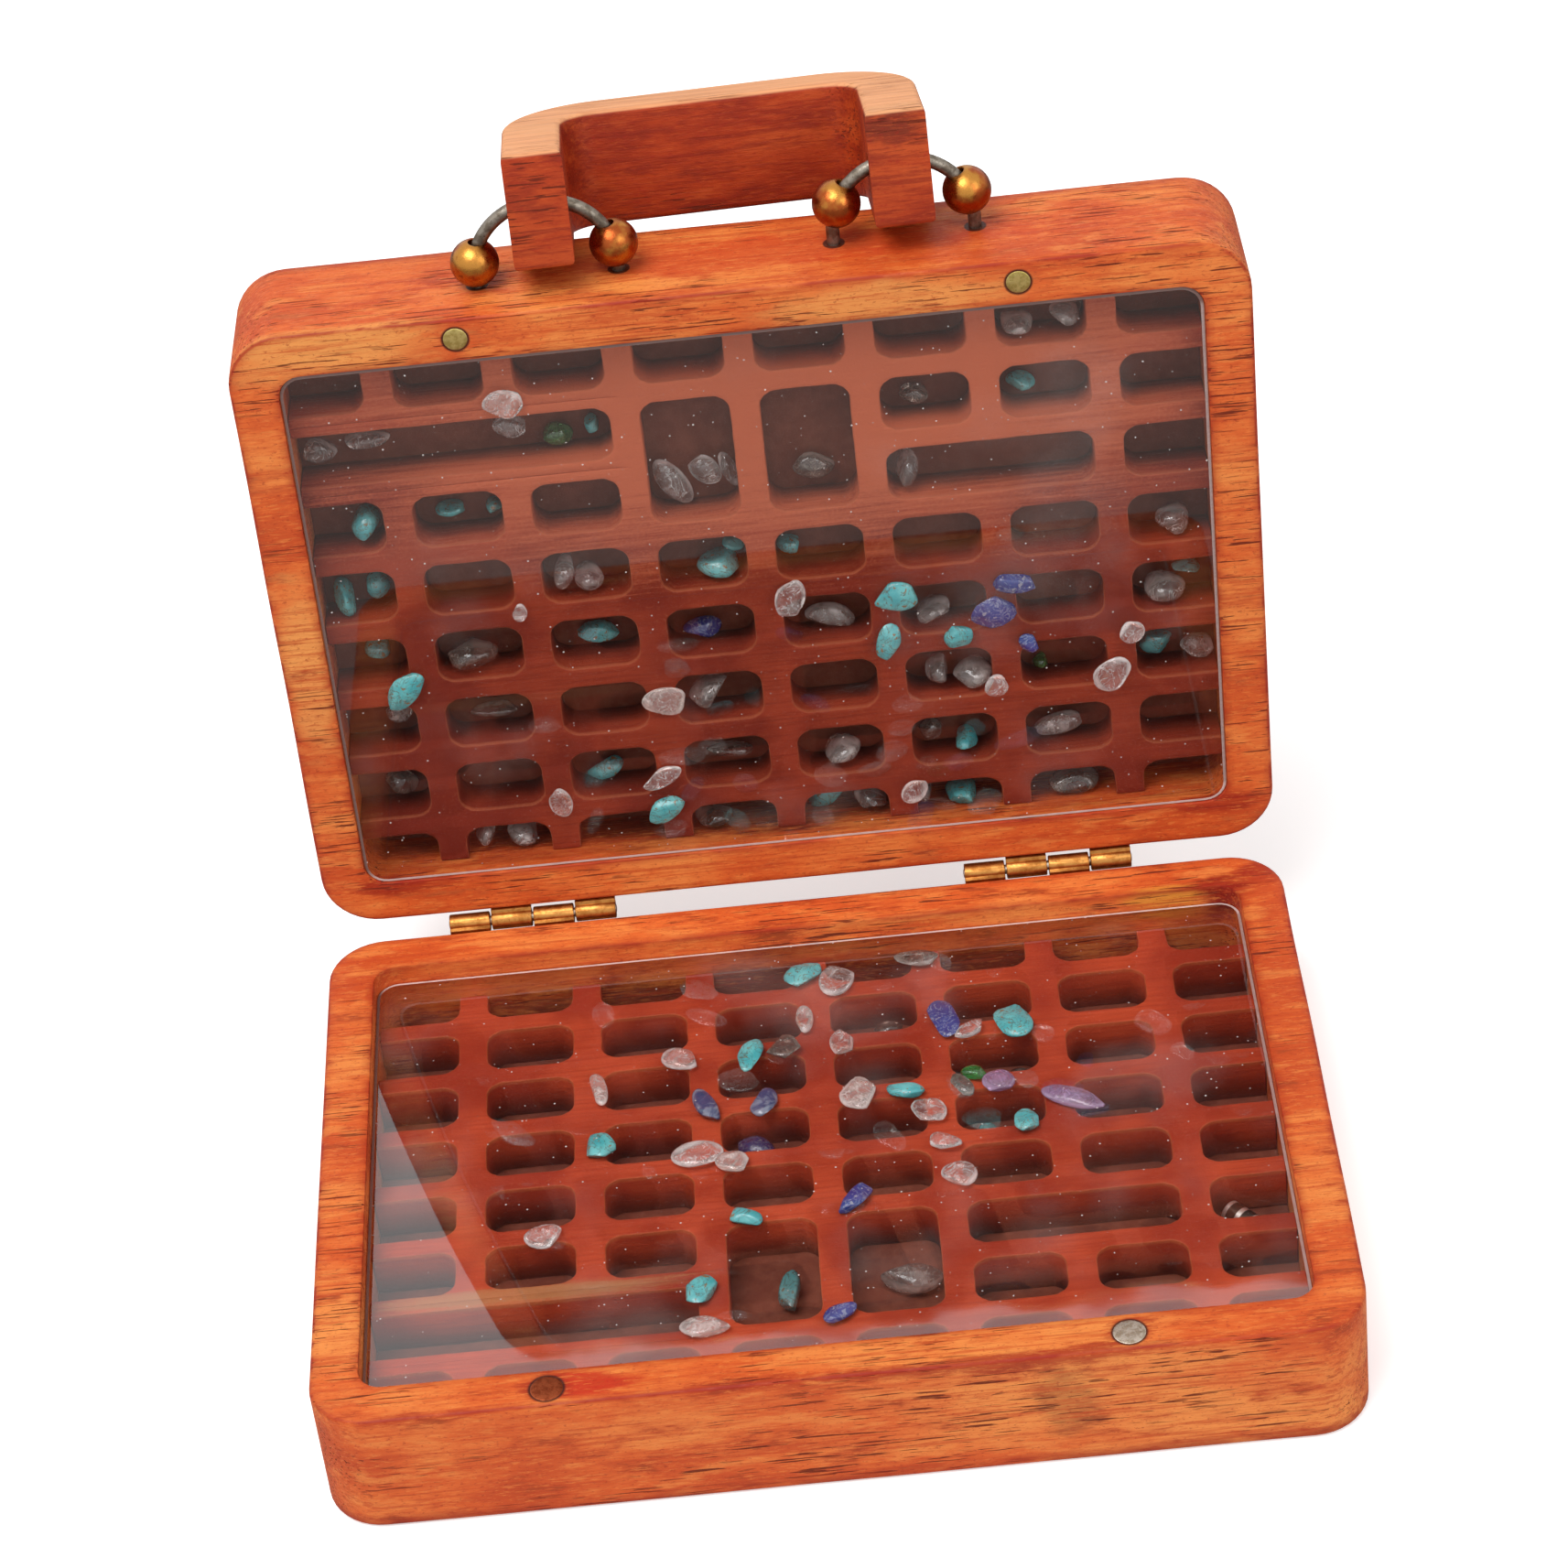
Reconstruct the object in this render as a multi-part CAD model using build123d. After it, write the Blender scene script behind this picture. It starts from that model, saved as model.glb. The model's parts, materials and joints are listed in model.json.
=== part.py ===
from build123d import *
import math
import os

# Pocket-sized specimen box for tumbled stone chips: two equal trays, each milled
# from one board, hinged along the back and shown standing open.  Millimetres,
# X along the hinge, Y from front to back, Z up.  The origin is the middle of the
# lower tray's underside.

# ---------------------------------------------------------------- trays
tray_width = 148.0           # along the hinge
tray_depth = 105.0           # front to back
tray_height = 21.0           # one tray, the thickness of its board
side_wall = 7.0              # rim left and right of the opening
end_wall = 7.0               # rim at the hinge side and at the handle side
outer_corner_radius = 8.5    # upright corners
edge_break = 0.8             # sanded flat along the outer face's edges
opening_corner_radius = 3.5
rim_gap = 0.2                # between the two rims when the box is shut
lid_opening_angle = 92.57    # the pose it is shown in; 0 is shut

# ---------------------------------------------------------------- stack behind each rim
lower_window_recess = 3.3    # rim down to the clear sheet
lid_window_recess = 0.4
window_thickness = 2.0
chip_gap = 2.0               # free space between clear sheet and pocket board
board_thickness = 7.0        # pocket board, cut right through
backing_thickness = 1.0      # dark sheet behind the pockets
board_clearance = 0.1        # board and backing against the tray walls

# ---------------------------------------------------------------- pockets
column_count = 8
row_count = 8
column_rib = 4.4             # wood left between two pockets side by side
row_rib = 3.3                # wood left between two rows
pocket_radius = 2.6
side_overrun = 1.2           # how far the outer columns reach past the opening
hinge_overrun = 3.1          # the same for the row at the hinge
front_rim = 0.6              # wood left between the first row and the handle-side wall
corner_flat_count = 2        # each pocket corner is turned in this many flats
sheet_flat_count = 3         # the same for the corners of the sheets and boards
lower_board_shift = 0.4      # the boards sit a little off the middle
lid_board_shift = -0.5

# ---------------------------------------------------------------- butt hinges
hinge_length = 26.0
hinge_insets = {"left": 18.8, "right": 22.6}     # tray end to the near end of each hinge
pin_offset = 1.9             # pin axis behind the back faces
pin_radius = 0.75
pin_clearance = 0.05
barrel_radius = 1.5
barrel_sides = 10
knuckle_count = 4
knuckle_gap = 0.3
leaf_thickness = 0.7
leaf_height = 9.0
leaf_notch_gap = 0.5         # leaf edge around the other leaf's knuckles
hinge_screw_spacing = 16.0
hinge_screw_inset = 6.2      # pin axis to the screw line
screw_shank_radius = 0.9
screw_head_radius = 1.7
screw_length = 5.5
screw_sides = 8

# ---------------------------------------------------------------- catch
catch_end_inset = 33.5       # tray ends to the catch centres
catch_inset = 3.4            # handle-side edge to the catch centres
magnet_diameter = 5.0
magnet_height = 2.0
disc_diameter = 3.8
disc_height = 2.0

# ---------------------------------------------------------------- handle
handle_width = 60.6
handle_reach = 32.0          # leg ends to the back of the grip bar
handle_thickness = 17.0
handle_strip = 8.7           # width of the legs and of the grip bar
handle_outer_radius = 14.0
handle_inner_radius = 5.0
handle_edge_break = 0.8
handle_centre = -0.8         # handle middle along the hinge
handle_skew = 2.0            # the two wire arches are not set quite in line
handle_rest_gap = 0.2        # its face to the lid's outer edge, which it leans on
leg_bore_inset = 4.8         # leg ends to the bore
leg_bore_diameter = 3.6
wire_diameter = 2.0
wire_sides = 8
arch_bends = 8               # straight steps of the wire's half circle
arch_radius = 10.3
arch_rise = 12.3             # wall to the top of the wire's middle line
wire_depth = 7.0             # wire ends in the wall
bead_diameter = 7.1
bead_sides = 12
bead_rings = 6
bead_flat_angle = 64         # latitude of the flat at each end of the bore
# Gap between each bead and the wall; the beads are jammed at uneven heights.
bead_gaps = {"left_outer": 0.1, "left_inner": 0.7, "right_inner": 2.7, "right_outer": 2.4}

# ---------------------------------------------------------------- chips
chip_clearance = 0.2         # chips on the ribs under the clear sheet
chunk_thickness = 3.5        # chips lying in the pockets
upright_thickness = 6.5      # chips standing in the pockets
chip_facets = 5
chip_waist = 0.72            # top and foot against the girdle
chip_unevenness = 0.14       # how far every third corner draws in, twice over
chip_wall_gap = 0.3          # chips in a pocket against its edges
tube_bead_length = 6.6       # one banded metal bead lies among the chips
tube_bead_diameter = 3.6
tube_bead_bore = 1.2
tube_bead_sides = 12
tube_bead_place = (7.9, 3, -50)

os.makedirs("parts", exist_ok=True)

half_width = tray_width / 2
half_depth = tray_depth / 2
opening_width = tray_width - 2 * side_wall
opening_depth = tray_depth - 2 * end_wall
pin_height = tray_height + rim_gap / 2
pin_y = half_depth + pin_offset
lower_board_face = lower_window_recess + window_thickness + chip_gap
lid_board_face = lid_window_recess + window_thickness + chip_gap
lower_cavity = lower_board_face + board_thickness + backing_thickness
lid_cavity = lid_board_face + board_thickness + backing_thickness
pocket_width = (opening_width + 2 * side_overrun - (column_count - 1) * column_rib) / column_count
pocket_height = (opening_depth - front_rim + hinge_overrun - (row_count - 1) * row_rib) / row_count
column_pitch = pocket_width + column_rib
row_pitch = pocket_height + row_rib
first_row_y = -opening_depth / 2 + front_rim + pocket_height / 2
hinge_offsets = {
    "left": -half_width + hinge_insets["left"] + hinge_length / 2,
    "right": half_width - hinge_insets["right"] - hinge_length / 2,
}


def write(shape, name):
    """Put one named piece, or one group of equal pieces, into its own file."""
    solids = shape.solids()
    piece = solids[0] if len(solids) == 1 else Compound(children=list(solids))
    piece.label = name
    export_step(piece, f"parts/{name}.step")
    print(f"{name}: {len(solids)} solid(s), {sum(s.volume for s in solids):.1f} mm3")


def ring(radius, height, sides):
    """Points of a level regular polygon."""
    turns = [2 * math.pi * step / sides for step in range(sides)]
    return [(radius * math.cos(turn), radius * math.sin(turn), height) for turn in turns]


def rounded_outline(width, height, radius, flats):
    """Rectangle about the origin whose round corners are turned in equal flats."""
    points = []
    for corner, (x_side, y_side) in enumerate(((1, 1), (-1, 1), (-1, -1), (1, -1))):
        for step in range(flats + 1):
            turn = math.radians(90 * (corner + step / flats))
            x = x_side * (width / 2 - radius) + radius * math.cos(turn)
            y = y_side * (height / 2 - radius) + radius * math.sin(turn)
            points.append((x, y))
    return make_face(Polyline(points, close=True))


# Every lid piece is drawn lying shut on top of the lower tray's rim line, in the
# same X and Y as the lower tray, with Z counted down from the lid's rim into its
# thickness as +Z.  open_lid turns it about the hinge pin into the shown pose.
def open_lid(shape):
    """Carry a piece drawn in the shut lid into the open pose."""
    shut = Pos(0, 0, tray_height + rim_gap) * shape
    pin = Axis((0, pin_y, pin_height), (-1, 0, 0))
    return shut.rotate(pin, lid_opening_angle)


# ---------------------------------------------------------------- trays
def tray_blank(cavity_depth):
    """A board with a rounded outline, milled out from its rim at z = 0 down to z = -depth."""
    outline = RectangleRounded(tray_width, tray_depth, outer_corner_radius)
    blank = extrude(outline, amount=-tray_height)
    blank = chamfer(blank.faces().sort_by(Axis.Z)[0].edges(), edge_break)
    opening = RectangleRounded(opening_width, opening_depth, opening_corner_radius)
    return blank - extrude(opening, amount=-cavity_depth)


def round_recess(x, y, diameter, depth):
    """A short blind hole cut down from z = 0."""
    return Pos(x, y, -depth / 2) * Cylinder(diameter / 2, depth)


catch_y = -half_depth + catch_inset
catch_xs = {"left": catch_end_inset - half_width, "right": half_width - catch_end_inset}


def hinge_screw_places():
    """X of each hinge screw, both hinges."""
    places = []
    for middle in hinge_offsets.values():
        places.append(middle - hinge_screw_spacing / 2)
        places.append(middle + hinge_screw_spacing / 2)
    return places


def hinge_screw(x, z):
    """Countersunk screw pointing into a back face at y = half_depth."""
    tip = ring(screw_shank_radius, leaf_thickness - screw_length, screw_sides)
    neck = ring(screw_shank_radius, 0, screw_sides)
    top = ring(screw_head_radius, leaf_thickness, screw_sides)
    screw = ConvexPolyhedron(tip + neck) + ConvexPolyhedron(neck + top)
    return Pos(x, half_depth, z) * Rot(-90, 0, 0) * screw


lower_screw_z = tray_height + rim_gap / 2 - hinge_screw_inset
lid_screw_z = hinge_screw_inset - rim_gap / 2
lower_screws = [hinge_screw(x, lower_screw_z) for x in hinge_screw_places()]
lid_screws = [hinge_screw(x, lid_screw_z) for x in hinge_screw_places()]

lower_tray = Pos(0, 0, tray_height) * tray_blank(lower_cavity)
for x in catch_xs.values():
    lower_tray -= Pos(0, 0, tray_height) * round_recess(x, catch_y, magnet_diameter, magnet_height)
for screw in lower_screws:
    lower_tray -= screw

# The lid is the same blank turned over: its rim faces down when shut.
lid_tray = mirror(tray_blank(lid_cavity), about=Plane.XY)
for x in catch_xs.values():
    lid_tray -= mirror(round_recess(x, catch_y, disc_diameter, disc_height), about=Plane.XY)
for screw in lid_screws:
    lid_tray -= screw

# ---------------------------------------------------------------- wire arches and beads
# Drawn in handle space: x along the hinge, y along the wall's outward normal,
# z from the lid's outer face towards its rim, origin at mid-thickness on the wall.
arch_centre_rise = arch_rise - arch_radius
wall_middle = tray_height / 2


def in_wall(shape):
    """Place handle space on the handle-side wall of the shut lid, with its skew."""
    facing_out = Rot(180, 0, 0) * shape
    skewed = facing_out.rotate(Axis.Y, -handle_skew)
    return Pos(handle_centre, -half_depth, wall_middle) * skewed


def wire_arch():
    """Bent wire staple: two straight feet joined by a half circle, in the plane across the wall."""
    points = [(-arch_radius, -wire_depth)]
    for step in range(arch_bends + 1):
        turn = math.pi * (1 - step / arch_bends)
        points.append((arch_radius * math.cos(turn), arch_centre_rise + arch_radius * math.sin(turn)))
    points.append((arch_radius, -wire_depth))
    foot = Plane((-arch_radius, -wire_depth, 0), x_dir=(1, 0, 0), z_dir=(0, 1, 0))
    section = foot * RegularPolygon(wire_diameter / 2, wire_sides)
    return sweep(section, path=Polyline(points), transition=Transition.RIGHT)


def bead_ball():
    """Ball flattened a little at both ends of its bore, which runs along Y."""
    points = []
    for step in range(bead_rings):
        latitude = math.radians(bead_flat_angle * (2 * step / (bead_rings - 1) - 1))
        radius = bead_diameter / 2 * math.cos(latitude)
        points.extend(ring(radius, bead_diameter / 2 * math.sin(latitude), bead_sides))
    return Rot(90, 0, 0) * ConvexPolyhedron(points)


def bead_on_arch(gap, side):
    """Bead threaded on one arm of the arch, a gap above the wall."""
    rise = gap + bead_diameter / 2
    angle_up = math.asin((rise - arch_centre_rise) / arch_radius)
    place = Pos(side * arch_radius * math.cos(angle_up), rise, 0)
    return place * Rot(0, 0, side * math.degrees(angle_up)) * bead_ball()


single_arch = wire_arch()
arch_spacing = handle_width - handle_strip
arch_xs = {"left": -arch_spacing / 2, "right": arch_spacing / 2}
arches = {side: in_wall(Pos(x, 0, 0) * single_arch) for side, x in arch_xs.items()}

bead_places = {
    "left_outer": ("left", -1),
    "left_inner": ("left", 1),
    "right_inner": ("right", -1),
    "right_outer": ("right", 1),
}
beads = {}
for bead_name, (arch_name, side) in bead_places.items():
    threaded = bead_on_arch(bead_gaps[bead_name], side) - single_arch
    beads[bead_name] = in_wall(Pos(arch_xs[arch_name], 0, 0) * threaded)

for arch in arches.values():
    lid_tray -= arch

# ---------------------------------------------------------------- handle
# The wire's bow rises and falls inside the straight bore, so the bore lies
# half way between its height at the top and at the leg's faces.
bow_drop = arch_radius - math.sqrt(arch_radius ** 2 - (handle_strip / 2) ** 2)
bore_rise = arch_rise - bow_drop / 2
# At rest the handle leans on the lid's outer edge.
edge_distance = math.hypot(bore_rise, wall_middle)
edge_direction = math.atan2(wall_middle, bore_rise)
leaning = math.acos((handle_thickness / 2 + handle_rest_gap) / edge_distance) - edge_direction
handle_rest_angle = math.degrees(leaning)


def handle_blank():
    """C-shaped piece sawn from a board, bored through both legs.

    Its bore runs along X through the origin and its grip bar lies along +Z.
    """
    reach_middle = -leg_bore_inset + handle_reach / 2
    block = Pos(0, 0, reach_middle) * Box(handle_width, handle_thickness, handle_reach)
    back_corners = block.edges().filter_by(Axis.Y).group_by(Axis.Z)[-1]
    block = fillet(back_corners, handle_outer_radius)
    gap_width = handle_width - 2 * handle_strip
    gap_reach = handle_reach - handle_strip
    gap = Pos(0, 0, -leg_bore_inset + gap_reach / 2) * Box(gap_width, 2 * handle_thickness, gap_reach)
    gap_corners = gap.edges().filter_by(Axis.Y).group_by(Axis.Z)[-1]
    gap = fillet(gap_corners, handle_inner_radius)
    sawn = block - gap
    leg_ends = sawn.faces().sort_by(Axis.Z)[:2]
    sawn = chamfer([edge for face in leg_ends for edge in face.edges()], handle_edge_break)
    return sawn - Rot(0, 90, 0) * Cylinder(leg_bore_diameter / 2, 2 * handle_width)


# The grip bar leans from the wall's plane back over the lid's outer edge.
handle = in_wall(Pos(0, bore_rise, 0) * Rot(180 - handle_rest_angle, 0, 0) * handle_blank())

# ---------------------------------------------------------------- pocket boards
def pocket_middle(column, row, shift):
    """Middle of one pocket; columns from the left, rows from the handle side, both from 1."""
    x = shift + (column - (column_count + 1) / 2) * column_pitch
    y = first_row_y + (row - 1) * row_pitch
    return x, y


def pocket_list():
    """(first column, last column, first row, last row) of every pocket, four of them joined ones."""
    joined = [(1, 3, 2, 2), (4, 4, 2, 3), (5, 5, 2, 3), (6, 7, 3, 3)]
    taken = set()
    for first_column, last_column, first_row, last_row in joined:
        for column in range(first_column, last_column + 1):
            for row in range(first_row, last_row + 1):
                taken.add((column, row))
    singles = []
    for row in range(1, row_count + 1):
        for column in range(1, column_count + 1):
            if (column, row) not in taken:
                singles.append((column, column, row, row))
    return joined + singles


def pocket_edges(pocket, shift):
    """Left, right, near and far edge; the outermost pockets run out through the board's edge."""
    first_column, last_column, first_row, last_row = pocket
    left, near = pocket_middle(first_column, first_row, shift)
    right, far = pocket_middle(last_column, last_row, shift)
    left -= pocket_width / 2
    right += pocket_width / 2
    near -= pocket_height / 2
    far += pocket_height / 2
    if first_column == 1:
        left = -opening_width / 2 - pocket_radius
    if last_column == column_count:
        right = opening_width / 2 + pocket_radius
    if first_row == 1:
        near = -opening_depth / 2 - pocket_radius
    if last_row == row_count:
        far = opening_depth / 2 + pocket_radius
    return left, right, near, far


def pocket_board(shift):
    """Board filling the cavity, cut through by the pockets, top face at z = 0."""
    board_width = opening_width - 2 * board_clearance
    board_depth = opening_depth - 2 * board_clearance
    board_radius = opening_corner_radius - board_clearance
    face = Sketch() + rounded_outline(board_width, board_depth, board_radius, sheet_flat_count)
    cuts = []
    for pocket in pocket_list():
        left, right, near, far = pocket_edges(pocket, shift)
        cut = rounded_outline(right - left, far - near, pocket_radius, corner_flat_count)
        cuts.append(Pos((left + right) / 2, (near + far) / 2) * cut)
    face -= cuts
    return extrude(face, amount=-board_thickness)


def backing_sheet():
    """Dark sheet under the pocket board, top face at z = 0."""
    sheet_width = opening_width - 2 * board_clearance
    sheet_depth = opening_depth - 2 * board_clearance
    sheet_radius = opening_corner_radius - board_clearance
    outline = rounded_outline(sheet_width, sheet_depth, sheet_radius, sheet_flat_count)
    return extrude(outline, amount=-backing_thickness)


def window_sheet():
    """Clear sheet glued into the opening, top face at z = 0."""
    outline = rounded_outline(opening_width, opening_depth, opening_corner_radius, sheet_flat_count)
    return extrude(outline, amount=-window_thickness)


def set_lower(shape, depth):
    """Move a piece drawn with its face at z = 0 to a depth below the lower rim."""
    return Pos(0, 0, tray_height - depth) * shape


def set_lid(shape, depth):
    """Move a piece drawn with its face at z = 0 to a depth above the shut lid's rim."""
    return Pos(0, 0, depth) * mirror(shape, about=Plane.XY)


# ---------------------------------------------------------------- hinges
knuckle_length = (hinge_length - (knuckle_count - 1) * knuckle_gap) / knuckle_count


def knuckle_middle(index):
    """Middle of one knuckle along a hinge, counted from its left end."""
    return -hinge_length / 2 + knuckle_length / 2 + index * (knuckle_length + knuckle_gap)


def hinge_leaf(own, other, bore_radius):
    """Leaf on the back face below the pin, with its own curled knuckles.

    Drawn with the pin axis along X through the origin and the leaf hanging in -Z.
    """
    plate = Box(hinge_length, leaf_thickness, leaf_height)
    leaf = Pos(0, -pin_offset + leaf_thickness / 2, -leaf_height / 2) * plate
    clear = barrel_radius + leaf_notch_gap
    for index in other:
        notch_length = knuckle_length + 2 * knuckle_gap
        leaf -= Pos(knuckle_middle(index), -pin_offset, 0) * Box(notch_length, 4 * leaf_thickness, 2 * clear)
    for index in own:
        ends = [ring(barrel_radius, side * knuckle_length / 2, barrel_sides) for side in (-1, 1)]
        barrel = Rot(0, 90, 0) * ConvexPolyhedron(ends[0] + ends[1])
        curl = Pos(knuckle_middle(index), -pin_offset / 2, -barrel_radius / 2)
        leaf += curl * Box(knuckle_length, pin_offset, barrel_radius)
        leaf += Pos(knuckle_middle(index), 0, 0) * barrel
    return leaf - Rot(0, 90, 0) * Cylinder(bore_radius, 2 * hinge_length)


lower_knuckles = [0, 2]
lid_knuckles = [1, 3]
# The pin is held tight in the lower knuckles and turns in the lid's.
lower_leaf = hinge_leaf(lower_knuckles, lid_knuckles, pin_radius)
lid_leaf = mirror(hinge_leaf(lid_knuckles, lower_knuckles, pin_radius + pin_clearance), about=Plane.XY)
hinge_pin = Rot(0, 90, 0) * Cylinder(pin_radius, hinge_length)


# ---------------------------------------------------------------- stone chips
# Each chip: (column, row, length, width, turn).  A whole column and row is the
# middle of a pocket, and a half is the rib between two pockets.
lower_on_ribs = {
    "turquoise": [
        (4.4, 7.8, 6.5, 5, 30), (3.9, 6.3, 7.5, 4, 70), (6.2, 6.5, 7.5, 6, -80),
        (2.6, 4.9, 5.5, 5, 90), (5.2, 5.4, 6, 3.5, -20), (6.2, 4.6, 5, 4, 80), (3.8, 3.4, 5, 3.5, -30),
        (3.4, 2.2, 6, 5, 80),
    ],
    "lapis": [(5.6, 6.7, 9, 4.5, -80), (4.7, 3.5, 7, 3.5, 50), (4.5, 1.6, 5.5, 3.5, 30)],
    "clear_quartz": [
        (4.7, 7.6, 7, 6, 80), (4.4, 6.9, 6, 3, 90), (3.3, 6.4, 6, 5, -30), (4.7, 6.4, 5.5, 4, 80),
        (5.8, 6.4, 5.5, 3, 30), (3.4, 4.6, 8, 6, 0), (5.4, 5, 6, 5.5, -80), (5.5, 4.4, 5, 4, -20),
        (5.6, 3.8, 5.5, 5.5, -70), (2.1, 3.4, 5.5, 5.5, -10),
    ],
    "milky_quartz": [
        (2.6, 6, 7.5, 2.5, -80), (3.5, 5.5, 8, 3.5, -70), (4, 5.4, 6, 4.5, 80), (4.8, 5.4, 7.5, 6, 80),
        (3.7, 4.4, 5, 5, -10), (3.4, 1.6, 7.5, 4.5, -10),
    ],
    "smoky_quartz": [(5.4, 7.9, 7, 4, -10), (4.2, 6.4, 5, 5, 30), (5.7, 5.4, 5, 3, -60)],
    "green_glass": [(5.8, 5.6, 4, 2.5, -20)],
    "amethyst": [(6, 5.4, 5, 5, -40), (6.6, 5, 10.5, 4.5, -30)],
}
lower_in_pockets = {
    "turquoise": [(5.9, 4.9, 6.5, 4, -80), (4.1, 2.5, 7.5, 3.5, 80)],
    "lapis": [(2.9, 7.8, 4, 3, 80), (3.9, 5.2, 6.5, 4.5, -40)],
    "clear_quartz": [(6.2, 5.9, 4.5, 4.5, 80)],
    "milky_quartz": [(5.1, 2.6, 9.5, 6, -10)],
    "smoky_quartz": [(5.1, 7.1, 4.5, 4, -20)],
}
lid_on_ribs = {
    "turquoise": [
        (3.4, 7.6, 6.5, 4.5, -40), (1.3, 5.4, 8, 5, -50), (5.5, 5.4, 6.5, 4, -80),
        (5.6, 4.7, 6.5, 5.5, 10), (6.1, 5.4, 4.5, 4.5, -20),
    ],
    "lapis": [(6.7, 5.6, 3.5, 3, 40), (6.4, 5.1, 7, 6, -20), (6.6, 4.7, 6.5, 3.5, 10)],
    "clear_quartz": [
        (5.6, 7.7, 5, 4, -60), (2.5, 7.3, 5.5, 4, 70), (3.4, 7.1, 7, 3.5, -30), (6.4, 6.2, 4, 4, -80),
        (7.4, 6.2, 6.5, 5.5, -50), (7.6, 5.6, 4, 4, -80), (4.7, 4.6, 7, 5, -80),
        (2.4, 4.4, 3, 2.5, -80), (2.5, 1.4, 6, 5, 10),
    ],
    "milky_quartz": [(3.5, 5.9, 6.5, 5.5, 10)],
}
lid_in_pockets = {
    "turquoise": [
        (4.8, 8, 6, 4, -20), (2.9, 7.2, 6, 3.5, -20), (7.8, 6.1, 5, 4.5, 10), (1.1, 5, 4, 3.5, 10),
        (3, 5.1, 6.5, 3.5, 0), (8.1, 5, 4.5, 3, 10), (1.2, 4.1, 4.5, 4, -80), (4.3, 4, 3.5, 2.5, 0),
        (4.7, 4.1, 3.5, 3, 10), (1.9, 3.1, 4.5, 2, 0), (2.3, 3.1, 2.5, 2.5, 10),
        (3.2, 2.1, 3, 2.5, -80), (6.8, 2.1, 4.5, 3, 10),
    ],
    "lapis": [(3.9, 5.2, 6, 3.5, -10)],
    "clear_quartz": [
        (3.8, 3, 9, 4.5, 60), (4.1, 2.9, 5.5, 4.5, 40), (4.3, 2.9, 6, 2.5, 70), (0.9, 2.1, 5, 4.5, 10),
        (1.3, 2, 7, 3, 0), (2.5, 2, 5, 4, 10),
    ],
    "milky_quartz": [
        (6.9, 7.2, 7.5, 4, -10), (1.2, 6, 4.5, 4.5, -80), (8.2, 6.2, 5.5, 4.5, 10),
        (5, 5.2, 8, 4.5, 10),
    ],
    "smoky_quartz": [
        (1.1, 7.1, 5.5, 4, 10), (4, 7.1, 7.5, 2.5, 0), (5.8, 7.1, 4, 4, -80), (2, 6.1, 7.5, 2.5, 0),
        (5, 3, 6.5, 4.5, 10), (5.9, 2.1, 4.5, 3, 10),
    ],
    "green_glass": [(6.8, 6.2, 2.5, 2.5, 10), (2.9, 2.2, 4.5, 4, 10)],
}
lid_upright = {
    "turquoise": [
        (6, 8, 5, 3, 0), (6.1, 7.2, 3.5, 3, 10), (0.9, 4.1, 5.5, 3, 70), (4.1, 4.2, 6.5, 4, 0),
        (1.2, 3.1, 5, 4.5, -80),
    ],
    "clear_quartz": [
        (5.2, 8, 5.5, 4, 20), (5.7, 7.9, 4, 2.5, -80), (5.9, 5.2, 5.5, 3.5, -20),
        (2.8, 4.1, 5, 3.5, -70), (3, 4.2, 4.5, 4, 10), (8, 4.2, 5, 5, 10), (5.8, 3.1, 5.5, 3.5, -80),
    ],
    "milky_quartz": [
        (1.8, 7.9, 4.5, 3, -60), (2.1, 8, 5, 4, 10), (5, 7.2, 6, 4.5, -20), (3.9, 6.1, 7, 4.5, -40),
        (5.9, 6.1, 4.5, 4, -80), (6.2, 6.2, 6, 4.5, -20), (7.9, 5.2, 6.5, 4.5, 10),
        (6.8, 1.2, 5, 3.5, 10), (7.2, 1.1, 4.5, 3.5, 10),
    ],
    "smoky_quartz": [(3.8, 8, 6, 3.5, 0), (7, 8, 8, 4, 0), (1.9, 5.2, 8, 5.5, 0)],
}
flat_thickness = chip_gap - chip_clearance


def chip_outline(length, width, turn):
    """Corners of a chip's girdle about its own middle."""
    corners = []
    for step in range(chip_facets):
        angle = 2 * math.pi * step / chip_facets
        reach = 1 - chip_unevenness * (step * 5 % 3)
        corners.append(Vector(reach * length / 2 * math.cos(angle), reach * width / 2 * math.sin(angle)))
    return [corner.rotate(Axis.Z, turn) for corner in corners]


def chip(outline, thickness):
    """Worn chip: its girdle at mid-height, a smaller flat above and below, standing on z = 0."""
    points = []
    for height, scale in ((0, chip_waist), (thickness / 2, 1), (thickness, chip_waist)):
        points.extend((corner.X * scale, corner.Y * scale, height) for corner in outline)
    return ConvexPolyhedron(points)


def settle(middle, low_edge, high_edge, reaches):
    """Slide a chip along one direction until it lies between a pocket's edges."""
    lowest = low_edge + chip_wall_gap - min(reaches)
    highest = high_edge - chip_wall_gap - max(reaches)
    return min(max(middle, lowest), highest)


def pocket_at(column, row):
    """The pocket that holds a column and row, or else the nearest to it."""
    def distance(pocket):
        first_column, last_column, first_row, last_row = pocket
        across = max(first_column - column, column - last_column, 0)
        along = max(first_row - row, row - last_row, 0)
        return max(across, along)
    return min(pocket_list(), key=distance)


def tube_bead():
    """Short metal tube lying on its side on the backing sheet, board face at z = 0."""
    column, row, turn = tube_bead_place
    x, y = pocket_middle(column, row, lower_board_shift)
    tube = extrude(RegularPolygon(tube_bead_diameter / 2, tube_bead_sides), tube_bead_length / 2, both=True)
    tube -= extrude(RegularPolygon(tube_bead_bore / 2, tube_bead_sides), tube_bead_length, both=True)
    resting = Pos(x, y, tube_bead_diameter / 2 - board_thickness)
    return resting * Rot(0, 0, turn) * Rot(0, 90, 0) * tube


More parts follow.
